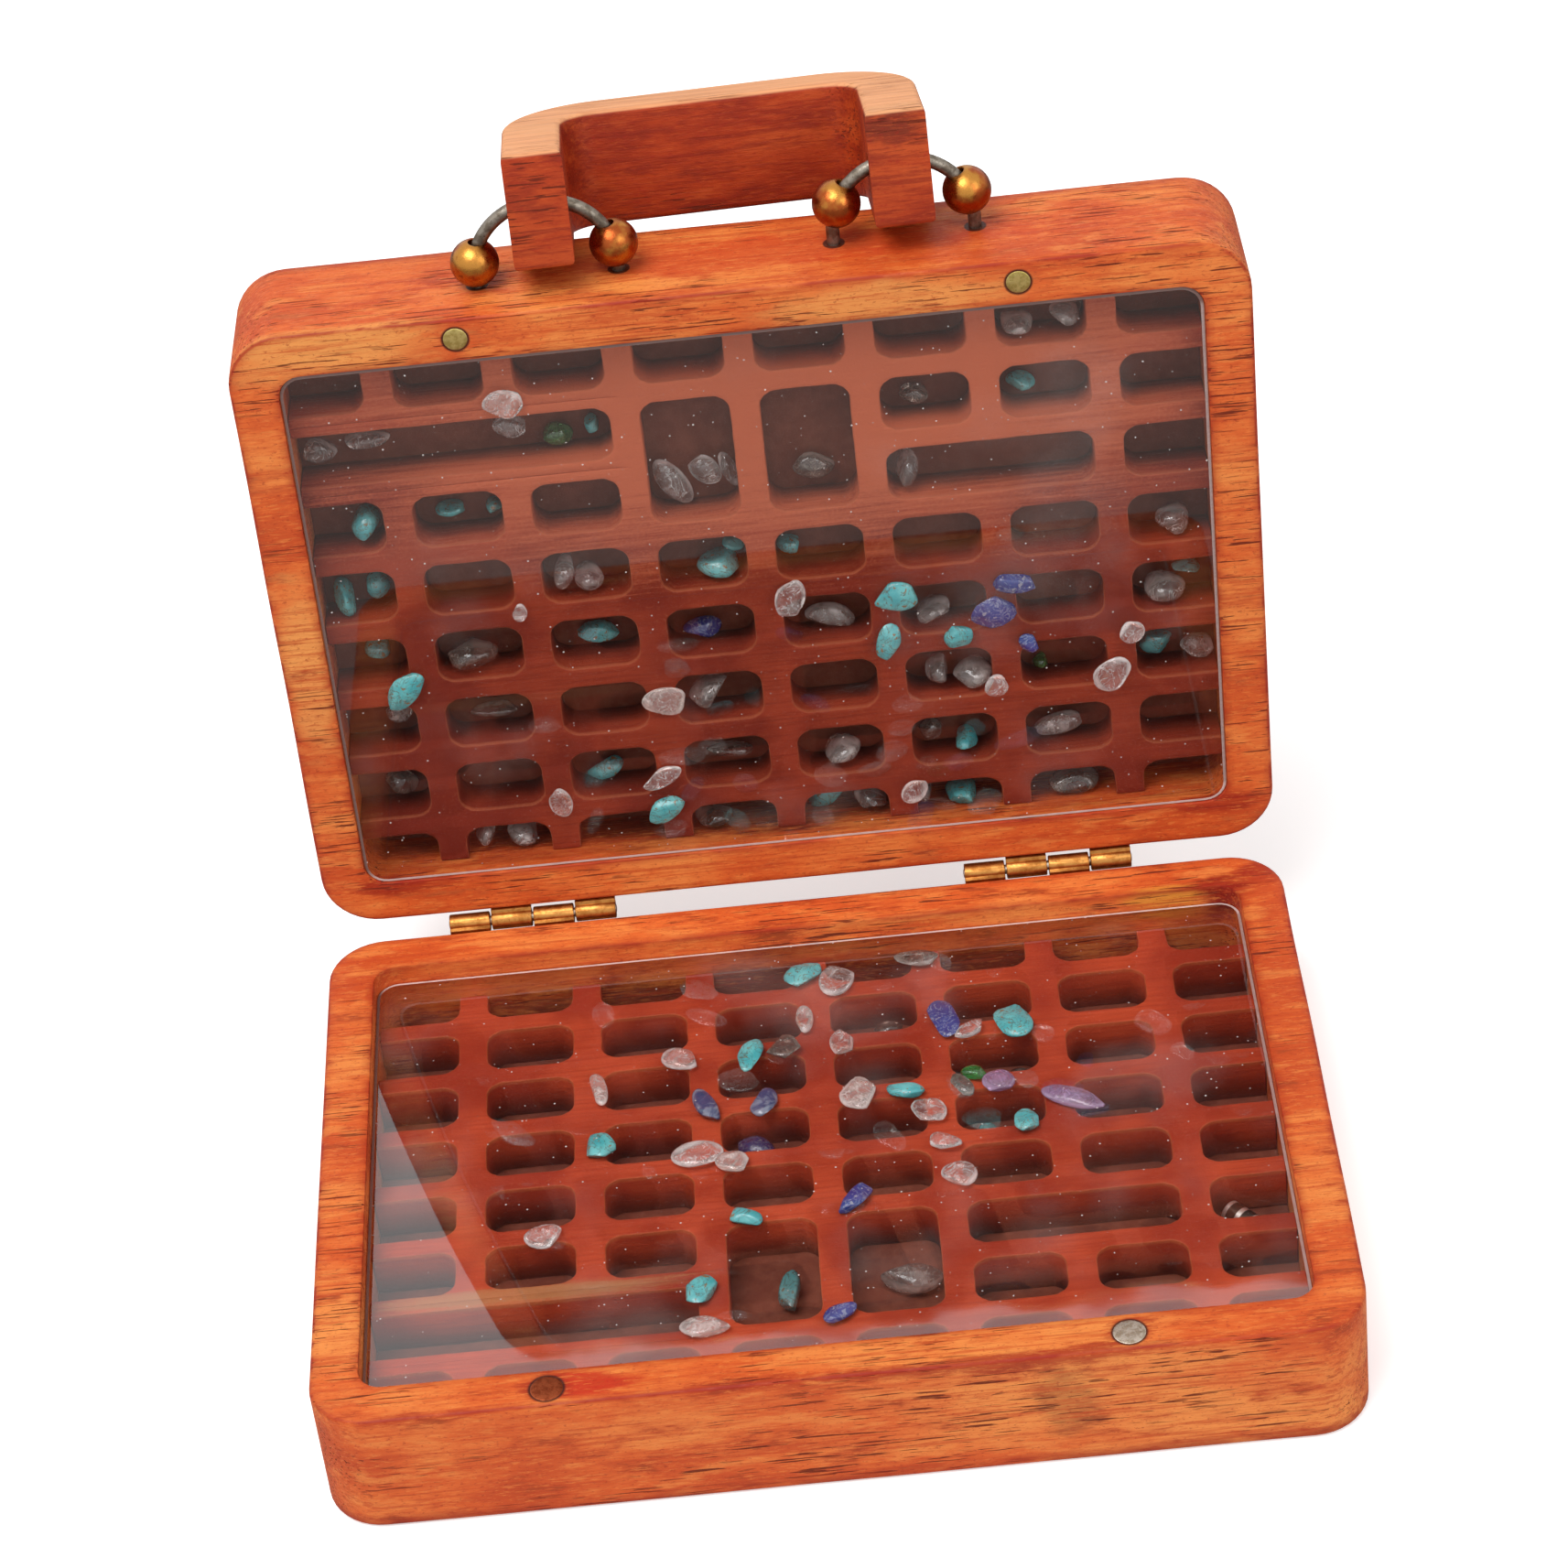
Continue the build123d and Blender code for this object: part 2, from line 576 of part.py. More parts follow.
def rib_chip(place, shift):
    """Chip lying on the board's face, which is z = 0."""
    column, row, length, width, turn = place
    x, y = pocket_middle(column, row, shift)
    return Pos(x, y, 0) * chip(chip_outline(length, width, turn), flat_thickness)


def pocket_chip(place, shift, thickness):
    """Chip standing on the backing sheet inside one pocket, the board's face at z = 0."""
    column, row, length, width, turn = place
    outline = chip_outline(length, width, turn)
    x, y = pocket_middle(column, row, shift)
    left, right, near, far = pocket_edges(pocket_at(column, row), shift)
    left = max(left, -opening_width / 2)
    right = min(right, opening_width / 2)
    near = max(near, -opening_depth / 2)
    far = min(far, opening_depth / 2)
    x = settle(x, left, right, [corner.X for corner in outline])
    y = settle(y, near, far, [corner.Y for corner in outline])
    return Pos(x, y, -board_thickness) * chip(outline, thickness)


def stones(on_ribs, in_pockets, upright, shift):
    """Every chip of one tray, grouped by stone."""
    groups = {}
    for stone, places in on_ribs.items():
        groups.setdefault(stone, []).extend(rib_chip(place, shift) for place in places)
    for thickness, layer in ((chunk_thickness, in_pockets), (upright_thickness, upright)):
        for stone, places in layer.items():
            groups.setdefault(stone, []).extend(pocket_chip(place, shift, thickness) for place in places)
    return groups


# ---------------------------------------------------------------- files
write(lower_tray, "lower_tray")
write(set_lower(backing_sheet(), lower_board_face + board_thickness), "lower_backing_sheet")
write(set_lower(pocket_board(lower_board_shift), lower_board_face), "lower_pocket_board")
write(set_lower(window_sheet(), lower_window_recess), "lower_window")
for side, x in catch_xs.items():
    magnet = set_lower(round_recess(x, catch_y, magnet_diameter, magnet_height), 0)
    write(magnet, f"catch_magnet_{side}")
write(Compound(children=lower_screws), "lower_hinge_screws")

write(open_lid(lid_tray), "lid_tray")
write(open_lid(set_lid(backing_sheet(), lid_board_face + board_thickness)), "lid_backing_sheet")
write(open_lid(set_lid(pocket_board(lid_board_shift), lid_board_face)), "lid_pocket_board")
write(open_lid(set_lid(window_sheet(), lid_window_recess)), "lid_window")
for side, x in catch_xs.items():
    disc = set_lid(round_recess(x, catch_y, disc_diameter, disc_height), 0)
    write(open_lid(disc), f"catch_disc_{side}")
write(open_lid(Compound(children=lid_screws)), "lid_hinge_screws")

for side, middle in hinge_offsets.items():
    seat = Pos(middle, pin_y, pin_height)
    leaf = seat * lower_leaf
    for screw in lower_screws:
        leaf -= screw
    write(leaf, f"hinge_{side}_lower_leaf")
    write(seat * hinge_pin, f"hinge_{side}_pin")
    upper = Pos(middle, pin_y, -rim_gap / 2) * lid_leaf
    for screw in lid_screws:
        upper -= screw
    write(open_lid(upper), f"hinge_{side}_lid_leaf")

lower_stones = stones(lower_on_ribs, lower_in_pockets, {}, lower_board_shift)
lower_stones["banded_bead"] = [tube_bead()]
for stone, chips in lower_stones.items():
    write(set_lower(Compound(children=chips), lower_board_face), f"lower_{stone}")
lid_stones = stones(lid_on_ribs, lid_in_pockets, lid_upright, lid_board_shift)
for stone, chips in lid_stones.items():
    write(open_lid(set_lid(Compound(children=chips), lid_board_face)), f"lid_{stone}")

write(open_lid(handle), "handle")
for side, arch in arches.items():
    write(open_lid(arch), f"handle_wire_{side}")
for bead_name, bead in beads.items():
    write(open_lid(bead), f"bead_{bead_name}")
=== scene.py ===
import json
from math import acos, asin, atan2, cos, hypot, pi, radians, sin, sqrt

import bmesh
import bpy
import numpy as np
from mathutils import Matrix, Vector


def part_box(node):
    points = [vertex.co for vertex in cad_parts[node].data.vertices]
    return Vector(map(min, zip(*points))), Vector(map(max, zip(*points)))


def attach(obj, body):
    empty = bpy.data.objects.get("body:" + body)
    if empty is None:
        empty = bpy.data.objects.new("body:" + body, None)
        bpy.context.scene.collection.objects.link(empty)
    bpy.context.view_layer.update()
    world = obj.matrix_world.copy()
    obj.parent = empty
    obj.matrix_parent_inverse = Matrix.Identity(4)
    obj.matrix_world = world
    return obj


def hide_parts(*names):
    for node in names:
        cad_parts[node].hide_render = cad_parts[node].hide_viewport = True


# The mineral box's finish: stained wood, clear windows, stone chips and brass, all
# drawn around the frame's pieces.  Sizes are millimetres and become metres at the end.
MM = 0.001
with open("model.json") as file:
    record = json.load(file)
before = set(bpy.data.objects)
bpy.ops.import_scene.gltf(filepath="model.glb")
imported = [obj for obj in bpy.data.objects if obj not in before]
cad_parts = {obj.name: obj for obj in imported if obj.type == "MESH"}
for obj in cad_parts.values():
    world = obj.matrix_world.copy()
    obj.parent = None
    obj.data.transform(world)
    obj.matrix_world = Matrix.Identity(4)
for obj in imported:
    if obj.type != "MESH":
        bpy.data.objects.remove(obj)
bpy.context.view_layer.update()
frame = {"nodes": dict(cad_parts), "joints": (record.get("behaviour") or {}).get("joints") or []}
nodes = frame["nodes"]

# ---- sizes, in millimetres
tray_low, tray_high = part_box("lower_tray")
tray_width, tray_depth, tray_height = ((high - low) / MM for low, high in zip(tray_low, tray_high))
wall = 7.0
rim_gap = 0.2
outer_corner, opening_corner = 8.5, 3.5
outer_round, rim_round, opening_round = 1.1, 0.6, 0.25  # outer faces, rim, and the opening's edge
sanded_hollow = 0.15         # how far the outer walls are drawn in where they were sanded most
opening_width = tray_width - 2 * wall
opening_depth = tray_depth - 2 * wall

# The grid of pockets runs out under the walls at the sides and the hinge, but not in front.
columns, rows = 8, 8
column_rib, row_rib = 4.4, 3.3
side_overrun, hinge_overrun, front_rim = 1.2, 3.1, 0.6
pocket_radius = 2.6
pocket_width = (opening_width + 2 * side_overrun - (columns - 1) * column_rib) / columns
pocket_height = (opening_depth - front_rim + hinge_overrun - (rows - 1) * row_rib) / rows
column_pitch = pocket_width + column_rib
row_pitch = pocket_height + row_rib
first_row_y = -opening_depth / 2 + front_rim + pocket_height / 2
board_thickness, backing_thickness, board_clearance = 7.0, 1.0, 0.1
board_reach = np.array((opening_width / 2 - board_clearance, opening_depth / 2 - board_clearance))
lip_cut, lip_unevenness = 0.22, 0.07
# (first column, last column, first row, last row) of the pockets made from several.
merged_pockets = [(1, 3, 2, 2), (4, 4, 2, 3), (5, 5, 2, 3), (6, 7, 3, 3)]
lower_shift, lid_shift = 0.4, -0.5

lower_window_recess, lid_window_recess = 3.3, 0.4
window_thickness, chip_gap = 2.0, 2.0
window_gap, window_ease, window_glint = 0.12, 0.45, 0.4
lower_face = lower_window_recess + window_thickness + chip_gap
lid_face = lid_window_recess + window_thickness + chip_gap

pin_joint = next(joint for joint in frame["joints"] if joint["name"] == "lid_hinge")
pin = np.array(pin_joint["pos_m"])
lid_angle = radians(-pin_joint["range_deg"][0])
pin_offset, pin_radius, pin_dome, barrel_radius = 1.9, 0.75, 0.18, 1.5
leaf_thickness, leaf_height, hinge_length = 0.7, 9.0, 26.0
knuckle_gap, knuckle_count = 0.3, 4
knuckle_length = (hinge_length - (knuckle_count - 1) * knuckle_gap) / knuckle_count
screw_spacing, screw_inset, screw_head, screw_crown = 16.0, 6.2, 1.7, 0.22

handle_width, handle_reach, handle_thickness, handle_strip = 60.6, 32.0, 17.0, 8.7
handle_outer, handle_inner, handle_round = 14.0, 5.0, 0.9
handle_centre, handle_skew, handle_rest_gap = -0.8, 2.0, 0.2
leg_bore_inset, leg_bore = 4.8, 3.6
wire_radius, arch_radius, arch_rise, wire_depth = 1.0, 10.3, 12.3, 7.0
arch_centre_rise = arch_rise - arch_radius
arch_spacing = handle_width - handle_strip
bow_drop = arch_radius - sqrt(arch_radius ** 2 - (handle_strip / 2) ** 2)
bore_rise = arch_rise - bow_drop / 2
bead_radius = 3.55
# Which staple each bead is on, which of its feet it sits above, and its gap to the wall.
bead_places = {
    "left_outer": (-1, -1, 0.1),
    "left_inner": (-1, 1, 0.7),
    "right_inner": (1, -1, 2.7),
    "right_outer": (1, 1, 2.4),
}
inside_box = 0.02            # keeps round edges inside the solids' own box
catch_end_inset, catch_inset = 33.5, 3.4
left_catch, right_catch = catch_end_inset - tray_width / 2, tray_width / 2 - catch_end_inset
catch_y = catch_inset - tray_depth / 2
magnet_radius, disc_radius = 2.4, 1.85
button_height, button_ease, button_crown = 2.0, 0.25, 0.06


# ---- places
# Tray space is x along the hinge, y from front to back, and the depth below the rim.
def to_lower(points):
    """Tray space of the lower tray, in metres."""
    x, y, depth = np.asarray(points, float).T
    return np.c_[x, y, tray_height - depth] * MM


def lid_turn():
    """Rotation by the lid's opening angle about minus X."""
    cosine, sine = cos(lid_angle), sin(lid_angle)
    return np.array(((1, 0, 0), (0, cosine, sine), (0, -sine, cosine)))


def to_lid(points):
    """Tray space of the lid: laid face down on the lower rim, then opened about the pin."""
    x, y, depth = np.asarray(points, float).T
    shut = np.c_[x, y, tray_height + rim_gap + depth] * MM
    return (shut - pin) @ lid_turn().T + pin


def from_lower(points):
    """Metres back to the lower tray's space."""
    x, y, z = np.asarray(points).T / MM
    return np.c_[x, y, tray_height - z]


def from_lid(points):
    """Metres back to the lid's tray space."""
    x, y, z = ((np.asarray(points) - pin) @ lid_turn() + pin).T / MM
    return np.c_[x, y, z - tray_height - rim_gap]


def swung(first, second, angle):
    """Two coordinates turned in their plane, the first towards the second."""
    cosine, sine = cos(angle), sin(angle)
    return first * cosine - second * sine, first * sine + second * cosine


def to_wall(points):
    """Handle space, x along the hinge, y out of the handle-side wall, z towards the rim."""
    x, y, z = np.asarray(points, float).T
    x, z = swung(x, -z, radians(handle_skew))
    return to_lid(np.c_[x + handle_centre, -y - tray_depth / 2, z + tray_height / 2])


def handle_rest(points):
    """The handle's own frame, its bore along X and its grip bar along Z, as it leans at rest."""
    distance = hypot(bore_rise, tray_height / 2)
    direction = atan2(tray_height / 2, bore_rise)
    lean = acos((handle_thickness / 2 + handle_rest_gap) / distance) - direction
    x, y, z = np.asarray(points, float).T
    y, z = swung(y, z, pi - lean)
    return np.c_[x, y + bore_rise, z]


def wave(x, y, seed=0.0):
    """Slow unevenness between -1 and 1: three sine waves that cross at odd angles."""
    first = np.sin(0.093 * x + 0.041 * y + 1.7 + seed)
    second = np.sin(-0.057 * x + 0.148 * y + 0.6 + 2.1 * seed)
    third = np.sin(0.211 * x - 0.173 * y + 2.9 + 1.3 * seed)
    return (first + second + 0.6 * third) / 2.6


# ---- meshes
def band_faces(ring_count, ring_size, closed_rings=False):
    """Quads between successive rings of points stored one ring after another."""
    down = np.arange(ring_count if closed_rings else ring_count - 1)
    a, b = np.meshgrid(down, np.arange(ring_size), indexing="ij")
    next_down, next_round = (a + 1) % ring_count, (b + 1) % ring_size
    quads = (a * ring_size + b, a * ring_size + next_round,
             next_down * ring_size + next_round, next_down * ring_size + b)
    return np.stack(quads, -1).reshape(-1, 4).tolist()


def capped_faces(ring_count, ring_size):
    """Quads between successive rings, and one face across the first ring and one across the last."""
    first = list(range(ring_size))
    last = [(ring_count - 1) * ring_size + index for index in first]
    return band_faces(ring_count, ring_size) + [first, last]


def show(name, data):
    """New object with this data, put into the scene."""
    shown = bpy.data.objects.new(name, data)
    bpy.context.scene.collection.objects.link(shown)
    return shown


def make_piece(name, points, faces, materials, body, sharp=35, values=None, face_material=None):
    """Puts points in metres into a mesh that rides on a body and stands for the node of its name.

    Doubles are merged and the faces turned outwards.  Values are numbers that the points
    carry for the materials, and edges sharper than the sharp angle stay crisp.
    """
    mesh = bpy.data.meshes.new(name)
    mesh.from_pydata(np.asarray(points).tolist(), [], faces)
    for key, column in (values or {}).items():
        carried = mesh.attributes.new(key, "FLOAT", "POINT")
        carried.data.foreach_set("value", np.asarray(column, np.float32))
    for material in materials:
        mesh.materials.append(material)
    if face_material is not None:
        mesh.polygons.foreach_set("material_index", face_material)
    shell = bmesh.new()
    shell.from_mesh(mesh)
    bmesh.ops.remove_doubles(shell, verts=shell.verts, dist=1e-7)
    bmesh.ops.recalc_face_normals(shell, faces=shell.faces)
    shell.to_mesh(mesh)
    shell.free()
    mesh.polygons.foreach_set("use_smooth", np.ones(len(mesh.polygons), bool))
    mesh.set_sharp_from_angle(angle=radians(sharp))
    piece = show(name, mesh)
    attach(piece, body)
    if name in nodes:
        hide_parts(name)
    return piece


def loop_basis(corner_steps, side_steps):
    """Signs and directions of a rounded rectangle's points.

    A point is sign * (half size - radius) + radius * direction: on a corner the direction
    sweeps a quarter circle, and along a side both pass evenly from corner to corner.
    """
    signs, directions = [], []
    corners = ((1, 1), (-1, 1), (-1, -1), (1, -1))
    for index, corner in enumerate(corners):
        turns = np.radians(90 * (index + np.arange(corner_steps + 1) / corner_steps))
        signs.append(np.repeat([corner], corner_steps + 1, 0).astype(float))
        directions.append(np.c_[np.cos(turns), np.sin(turns)])
        share = (np.arange(1, side_steps) / side_steps)[:, None]
        after = np.array(corners[(index + 1) % 4], float)
        signs.append(np.array(corner) * (1 - share) + after * share)
        directions.append(np.repeat(directions[-1][-1:], side_steps - 1, 0))
    return np.vstack(signs), np.vstack(directions)


def rounded_rings(rings, signs, directions):
    """Rings of (half x, half y, radius, depth) as points, one ring after another."""
    rings = np.asarray(rings, float)
    half, radius, depth = rings[:, None, 0:2], rings[:, None, 2:3], rings[:, None, 3:4]
    flat = signs[None] * (half - radius) + radius * directions[None]
    return np.concatenate((flat, np.broadcast_to(depth, flat.shape[:2] + (1,))), 2)


def quarter(steps):
    """Angles of a quarter turn."""
    return np.linspace(0, pi / 2, steps + 1)


def eased(radius, steps):
    """Quarter circle that rounds an edge, as (how far in, how far down) from the sharp corner."""
    return [(radius * (1 - sin(turn)), radius * (1 - cos(turn))) for turn in quarter(steps)]


def turned(profile, sides):
    """Closed profile of (radius, height) turned round Z: points and faces."""
    profile = np.asarray(profile, float)
    turns = 2 * pi * np.arange(sides) / sides
    x = profile[:, None, 0] * np.cos(turns)
    y = profile[:, None, 0] * np.sin(turns)
    z = np.broadcast_to(profile[:, None, 1], x.shape)
    return np.stack((x, y, z), -1).reshape(-1, 3), band_faces(len(profile), sides, closed_rings=True)


# ---- shader helpers
class Field:
    """A value, colour, direction or shader of a material, held by the socket that gives it.

    Plus, minus, times and the methods each add the node that works the new one out.
    """

    def __init__(self, socket):
        self.socket, self.tree = socket, socket.id_data

    def math(self, operation, other=0.0, clamp=False):
        """One sum of this value and another."""
        return put(self.tree, "Math", {"operation": operation, "use_clamp": clamp}, i0=self, i1=other)

    def vector(self, operation, other=(0, 0, 0), out="Vector"):
        """One sum of this direction and another."""
        return put(self.tree, "VectorMath", {"operation": operation}, out, i0=self, i1=other)

    def __add__(self, other):
        return self.math("ADD", other)

    def __sub__(self, other):
        return self.math("SUBTRACT", other)

    def __rsub__(self, other):
        return put(self.tree, "Math", {"operation": "SUBTRACT"}, i0=other, i1=self)

    def __mul__(self, other):
        return self.math("MULTIPLY", other)

    def band(self, low, high, start=0.0, end=1.0):
        """This value between low and high spread smoothly over start to end, and held outside."""
        limits = {"From_Min": low, "From_Max": high, "To_Min": start, "To_Max": end}
        return put(self.tree, "MapRange", {"interpolation_type": "SMOOTHSTEP"}, Value=self, **limits)

    def mix(self, first, second):
        """Colour that lies this share of the way from the first to the second."""
        return put(self.tree, "Mix", {"data_type": "RGBA"}, 2, i0=self, i6=first, i7=second)


def put(tree, kind, settings=None, out=0, **inputs):
    """Adds a node and gives one of its outputs.

    An input's underscores stand for spaces, and i0, i1 and so on count the inputs.
    """
    node = tree.nodes.new("ShaderNode" + kind)
    for key, value in (settings or {}).items():
        setattr(node, key, value)
    for key, value in inputs.items():
        counted = key[0] == "i" and key[1:].isdigit()
        socket = node.inputs[int(key[1:]) if counted else key.replace("_", " ")]
        if isinstance(value, Field):
            tree.links.new(value.socket, socket)
        else:
            socket.default_value = (*value, 1.0) if socket.type == "RGBA" else value
    return Field(node.outputs[out]) if node.outputs else None


def blank(name, kind=bpy.data.materials):
    """New material or surroundings with no nodes yet, and its node tree."""
    owner = kind.new(name)
    owner.use_nodes = True
    owner.node_tree.nodes.clear()
    return owner, owner.node_tree


def closed(owner, shader, output="OutputMaterial"):
    """The material or surroundings with its finished shader put on its output."""
    put(owner.node_tree, output, i0=shader)
    return owner


def principled(material, colour, roughness, **rest):
    """The material with a Principled shader of this colour and roughness."""
    tree = material.node_tree
    return closed(material, put(tree, "BsdfPrincipled", Base_Color=colour, Roughness=roughness, **rest))


def place_mm(tree, stretch=(1, 1, 1), turn=(0, 0, 0)):
    """Object coordinates in millimetres, turned and then stretched."""
    where = put(tree, "TexCoord", out="Object")
    where = put(tree, "Mapping", Vector=where, Rotation=[radians(angle) for angle in turn])
    return put(tree, "Mapping", Vector=where, Scale=[factor / MM for factor in stretch])


def noise(tree, scale, detail=3.0, roughness=0.55, distortion=0.0, stretch=(1, 1, 1), turn=(0, 0, 0)):
    """Noise between 0 and 1 in millimetres, drawn out along an axis where its stretch is below 1."""
    return put(tree, "TexNoise", Vector=place_mm(tree, stretch, turn), Scale=scale, Detail=detail,
               Roughness=roughness, Distortion=distortion)


def laid(colour, *layers):
    """Colour under layers of (value, low, high, amount, tone).

    The tone covers nothing where the value is at low and the amount where it is at high.
    """
    for value, low, high, amount, tone in layers:
        colour = value.band(low, high, 0.0, amount).mix(colour, tone)
    return colour


def bump(height, distance, **rest):
    """Normal raised by a height, distance in millimetres."""
    return put(height.tree, "Bump", Height=height, Distance=distance * MM, **rest)


def spot(tree, centre, reach, core=0.0):
    """1 round a point in metres, falling to 0 at its reach along X, Y and Z in millimetres."""
    away = put(tree, "TexCoord", out="Object").vector("SUBTRACT", tuple(centre))
    share = away.vector("DIVIDE", tuple(distance * MM for distance in reach))
    return share.vector("LENGTH", out="Value").band(core, 1.0, 1.0, 0.0)


def mesh_value(tree, name):
    """A value that the mesh's points carry."""
    return put(tree, "Attribute", {"attribute_name": name}, "Fac")


def ray(tree, kind):
    """1 for rays of a kind, which are Camera, Glossy or Transmission, and 0 for others."""
    return put(tree, "LightPath", out=f"Is {kind} Ray")


# ---- wood
orange, amber, brick = (0.68, 0.120, 0.022), (0.80, 0.26, 0.060), (0.50, 0.060, 0.012)
blood, umber = (0.30, 0.016, 0.006), (0.13, 0.016, 0.006)
# Tones of painted shade: in the gaps round set-in parts, and down the pockets.
painted_gap_shade, pocket_shade = (0.022, 0.005, 0.003), (0.026, 0.008, 0.005)


def stained_wood(name, stains=(), rings=(), light=orange, pale=amber, deep=brick, sanded_tone=amber,
                 gloss=0.46):
    """Open-pored wood with its grain along X, soaked unevenly with orange-red stain.

    Slow noise mixes the light tone with the pale and deep ones, and ragged stains lie on
    it.  Noise stretched thirty times along X then draws the grain, a finer one the fibres,
    and a sharp one the long dark pores, which come in patches.  The value sanded pales a
    face, less so in its grain, the value edge darkens the rounded edges, and rings are
    painted shade in the gaps round what is set into the wood.
    """
    material, tree = blank(name)
    clouds = noise(tree, 0.05, 4.0, 0.62, stretch=(0.4, 1, 1))
    blots = noise(tree, 0.28, 3.0, 0.6, stretch=(0.3, 1, 1))
    grain = noise(tree, 1.1, 5.0, 0.68, 0.2, (0.03, 1, 1))
    fibre = noise(tree, 2.6, 3.0, 0.75, stretch=(0.16, 1, 1))
    speckle = noise(tree, 2.1, 3.0, 0.7, stretch=(0.55, 1, 1))
    pore_field = noise(tree, 2.8, 2.0, 0.5, stretch=(0.045, 1, 1))
    pore_patch = noise(tree, 0.07, 3.0, 0.55, stretch=(0.45, 1, 1))
    pores = pore_field.band(0.61, 0.65) * pore_patch.band(0.46, 0.56, 0.08, 1.0)

    colour = laid(
        clouds.band(0.44, 0.68).mix(light, pale),
        (clouds, 0.50, 0.36, 0.7, deep), (blots, 0.50, 0.66, 0.55, deep), (blots, 0.46, 0.34, 0.55, pale))
    uneven = fibre * 0.7 + blots * 1.5
    for centre, reach, stain, amount in stains:
        colour = laid(colour, (spot(tree, centre, reach) + uneven, 1.25, 1.85, amount, stain))
    colour = laid(
        colour, (grain, 0.50, 0.62, 0.62, deep), (fibre, 0.52, 0.66, 0.40, deep),
        (fibre, 0.46, 0.34, 0.40, pale), (speckle, 0.56, 0.70, 0.5, blood))
    sanded = mesh_value(tree, "sanded") * grain.band(0.42, 0.66, 0.84, 0.6)
    colour = sanded.mix(colour, sanded_tone)
    colour = (pores * (0.92 - sanded * 0.55)).mix(colour, umber)
    worn = noise(tree, 0.35, stretch=(0.3, 1, 1)).band(0.36, 0.60, 0.25, 0.9)
    colour = (mesh_value(tree, "edge") * worn).mix(colour, blood)
    # Painted shade in the gap round each set-in part.
    for centre, reach in rings:
        colour = (spot(tree, centre, [reach] * 3, 0.85) * 0.9).mix(colour, painted_gap_shade)

    normal = bump(fibre * 0.6 - pores, 0.14)
    normal = bump(noise(tree, 0.16, 2.0), 0.3, Normal=normal, Strength=0.5)
    roughness = pores * 0.3 + fibre.band(0.2, 0.8, gloss - 0.08, gloss + 0.14)
    return principled(material, colour, roughness, Normal=normal, Specular_IOR_Level=0.2)


def board_wood(name, place, face, base, dark, rubbed, bare, bare_tone):
    """Dark stained board, with painted shade that darkens it further down its pockets.

    The lip value is the distance from a pocket's edge in millimetres, and the rubbed tone
    shows in a ragged line along it.  Bare is a spot that the stain has worn off.
    """
    material, tree = blank(name)
    top, below = place([(0, 0, face), (0, 0, face + 1)])
    under = put(tree, "TexCoord", out="Object").vector("SUBTRACT", tuple(top))
    depth = under.vector("DOT_PRODUCT", tuple((below - top) / MM ** 2), "Value")
    clouds, rough = noise(tree, 0.06), noise(tree, 2.3, 3.0, 0.7)
    grain = noise(tree, 1.6, 4.0, 0.65, stretch=(0.05, 1, 1))
    colour = laid(
        clouds.band(0.34, 0.66).mix(base, dark),
        (grain, 0.42, 0.66, 0.5, dark), (rough, 0.56, 0.75, 0.35, rubbed),
        (spot(tree, *bare) + (grain + rough * 0.4), 0.85, 1.5, 0.85, bare_tone))
    lip = mesh_value(tree, "lip") + rough * 0.45
    frayed = lip.band(0.16, 0.42, 0.6, 0.0) * depth.band(0.4, 0.9, 1.0, 0.0)
    # Painted shade: the pocket_shade tone deepens with depth below the board's face.
    colour = laid(frayed.mix(colour, rubbed), (depth + clouds * 1.5, 2.2, 8.6, 0.92, pocket_shade))
    return principled(material, colour, 0.62, Normal=bump(rough + grain, 0.12),
                      Specular_IOR_Level=0.2)


def backing_paint(name, base, dust):
    """Dark sheet with dust and fibres: fine noise lays the dust tone over the base."""
    material, tree = blank(name)
    colour = noise(tree, 0.4, 4.0, 0.7).band(0.35, 0.75).mix(base, dust)
    return principled(material, colour, 0.6, Normal=bump(noise(tree, 3.0), 0.04),
                      Specular_IOR_Level=0.3)


# ---- clear sheets
def acrylic(name, gleam, lean=0.0, twist=0.0, bow=0.0):
    """Clear cast sheet: rays pass straight on, its upper face mirrors a little, dust clings to it.

    It mirrors by the Fresnel share times the gleam, but not on faces seen from inside nor
    for rays that come from a mirror already.  The mirroring face leans to the left, more so
    towards the front by the twist for each millimetre, and bows forward near the front edge.
    """
    material, tree = blank(name)
    y = put(tree, "SeparateXYZ", out="Y", Vector=place_mm(tree))
    curl = (y + noise(tree, 0.07, 2.0) * 12.0).band(-27.0, -42.0)
    tilt = put(tree, "CombineXYZ", X=y * twist - lean, Y=curl * -bow, Z=0.0)
    level = put(tree, "NewGeometry", out="Normal").vector("ADD", tilt).vector("NORMALIZE")
    mirror = put(tree, "BsdfGlossy", Color=(1, 1, 1), Roughness=curl * 0.16 + 0.02, Normal=level)
    inside, mirrored = put(tree, "NewGeometry", out="Backfacing"), ray(tree, "Glossy")
    shine = put(tree, "Fresnel", IOR=1.49) * gleam * (1.0 - inside.math("MAXIMUM", mirrored))
    see = put(tree, "BsdfTransparent", Color=(0.96, 0.955, 0.955))
    sheet = put(tree, "MixShader", i0=shine, i1=see, i2=mirror)
    cells = put(tree, "TexVoronoi", Vector=place_mm(tree), Scale=0.6)
    dust = cells.band(0.05, 0.12, 1.0, 0.0) * noise(tree, 0.9, 2.0).band(0.52, 0.60)
    scratches = noise(tree, 1.4, 3.0, 0.8, stretch=(0.08, 1, 1), turn=(0, 0, 24)).band(0.66, 0.8, 0.0, 0.06)
    smears = noise(tree, 0.045).band(0.52, 0.74, 0.002, 0.035)
    powder = put(tree, "BsdfDiffuse", Color=(0.85, 0.78, 0.74))
    return closed(material, put(tree, "MixShader", i0=dust * 0.65 + scratches + smears, i1=sheet, i2=powder))


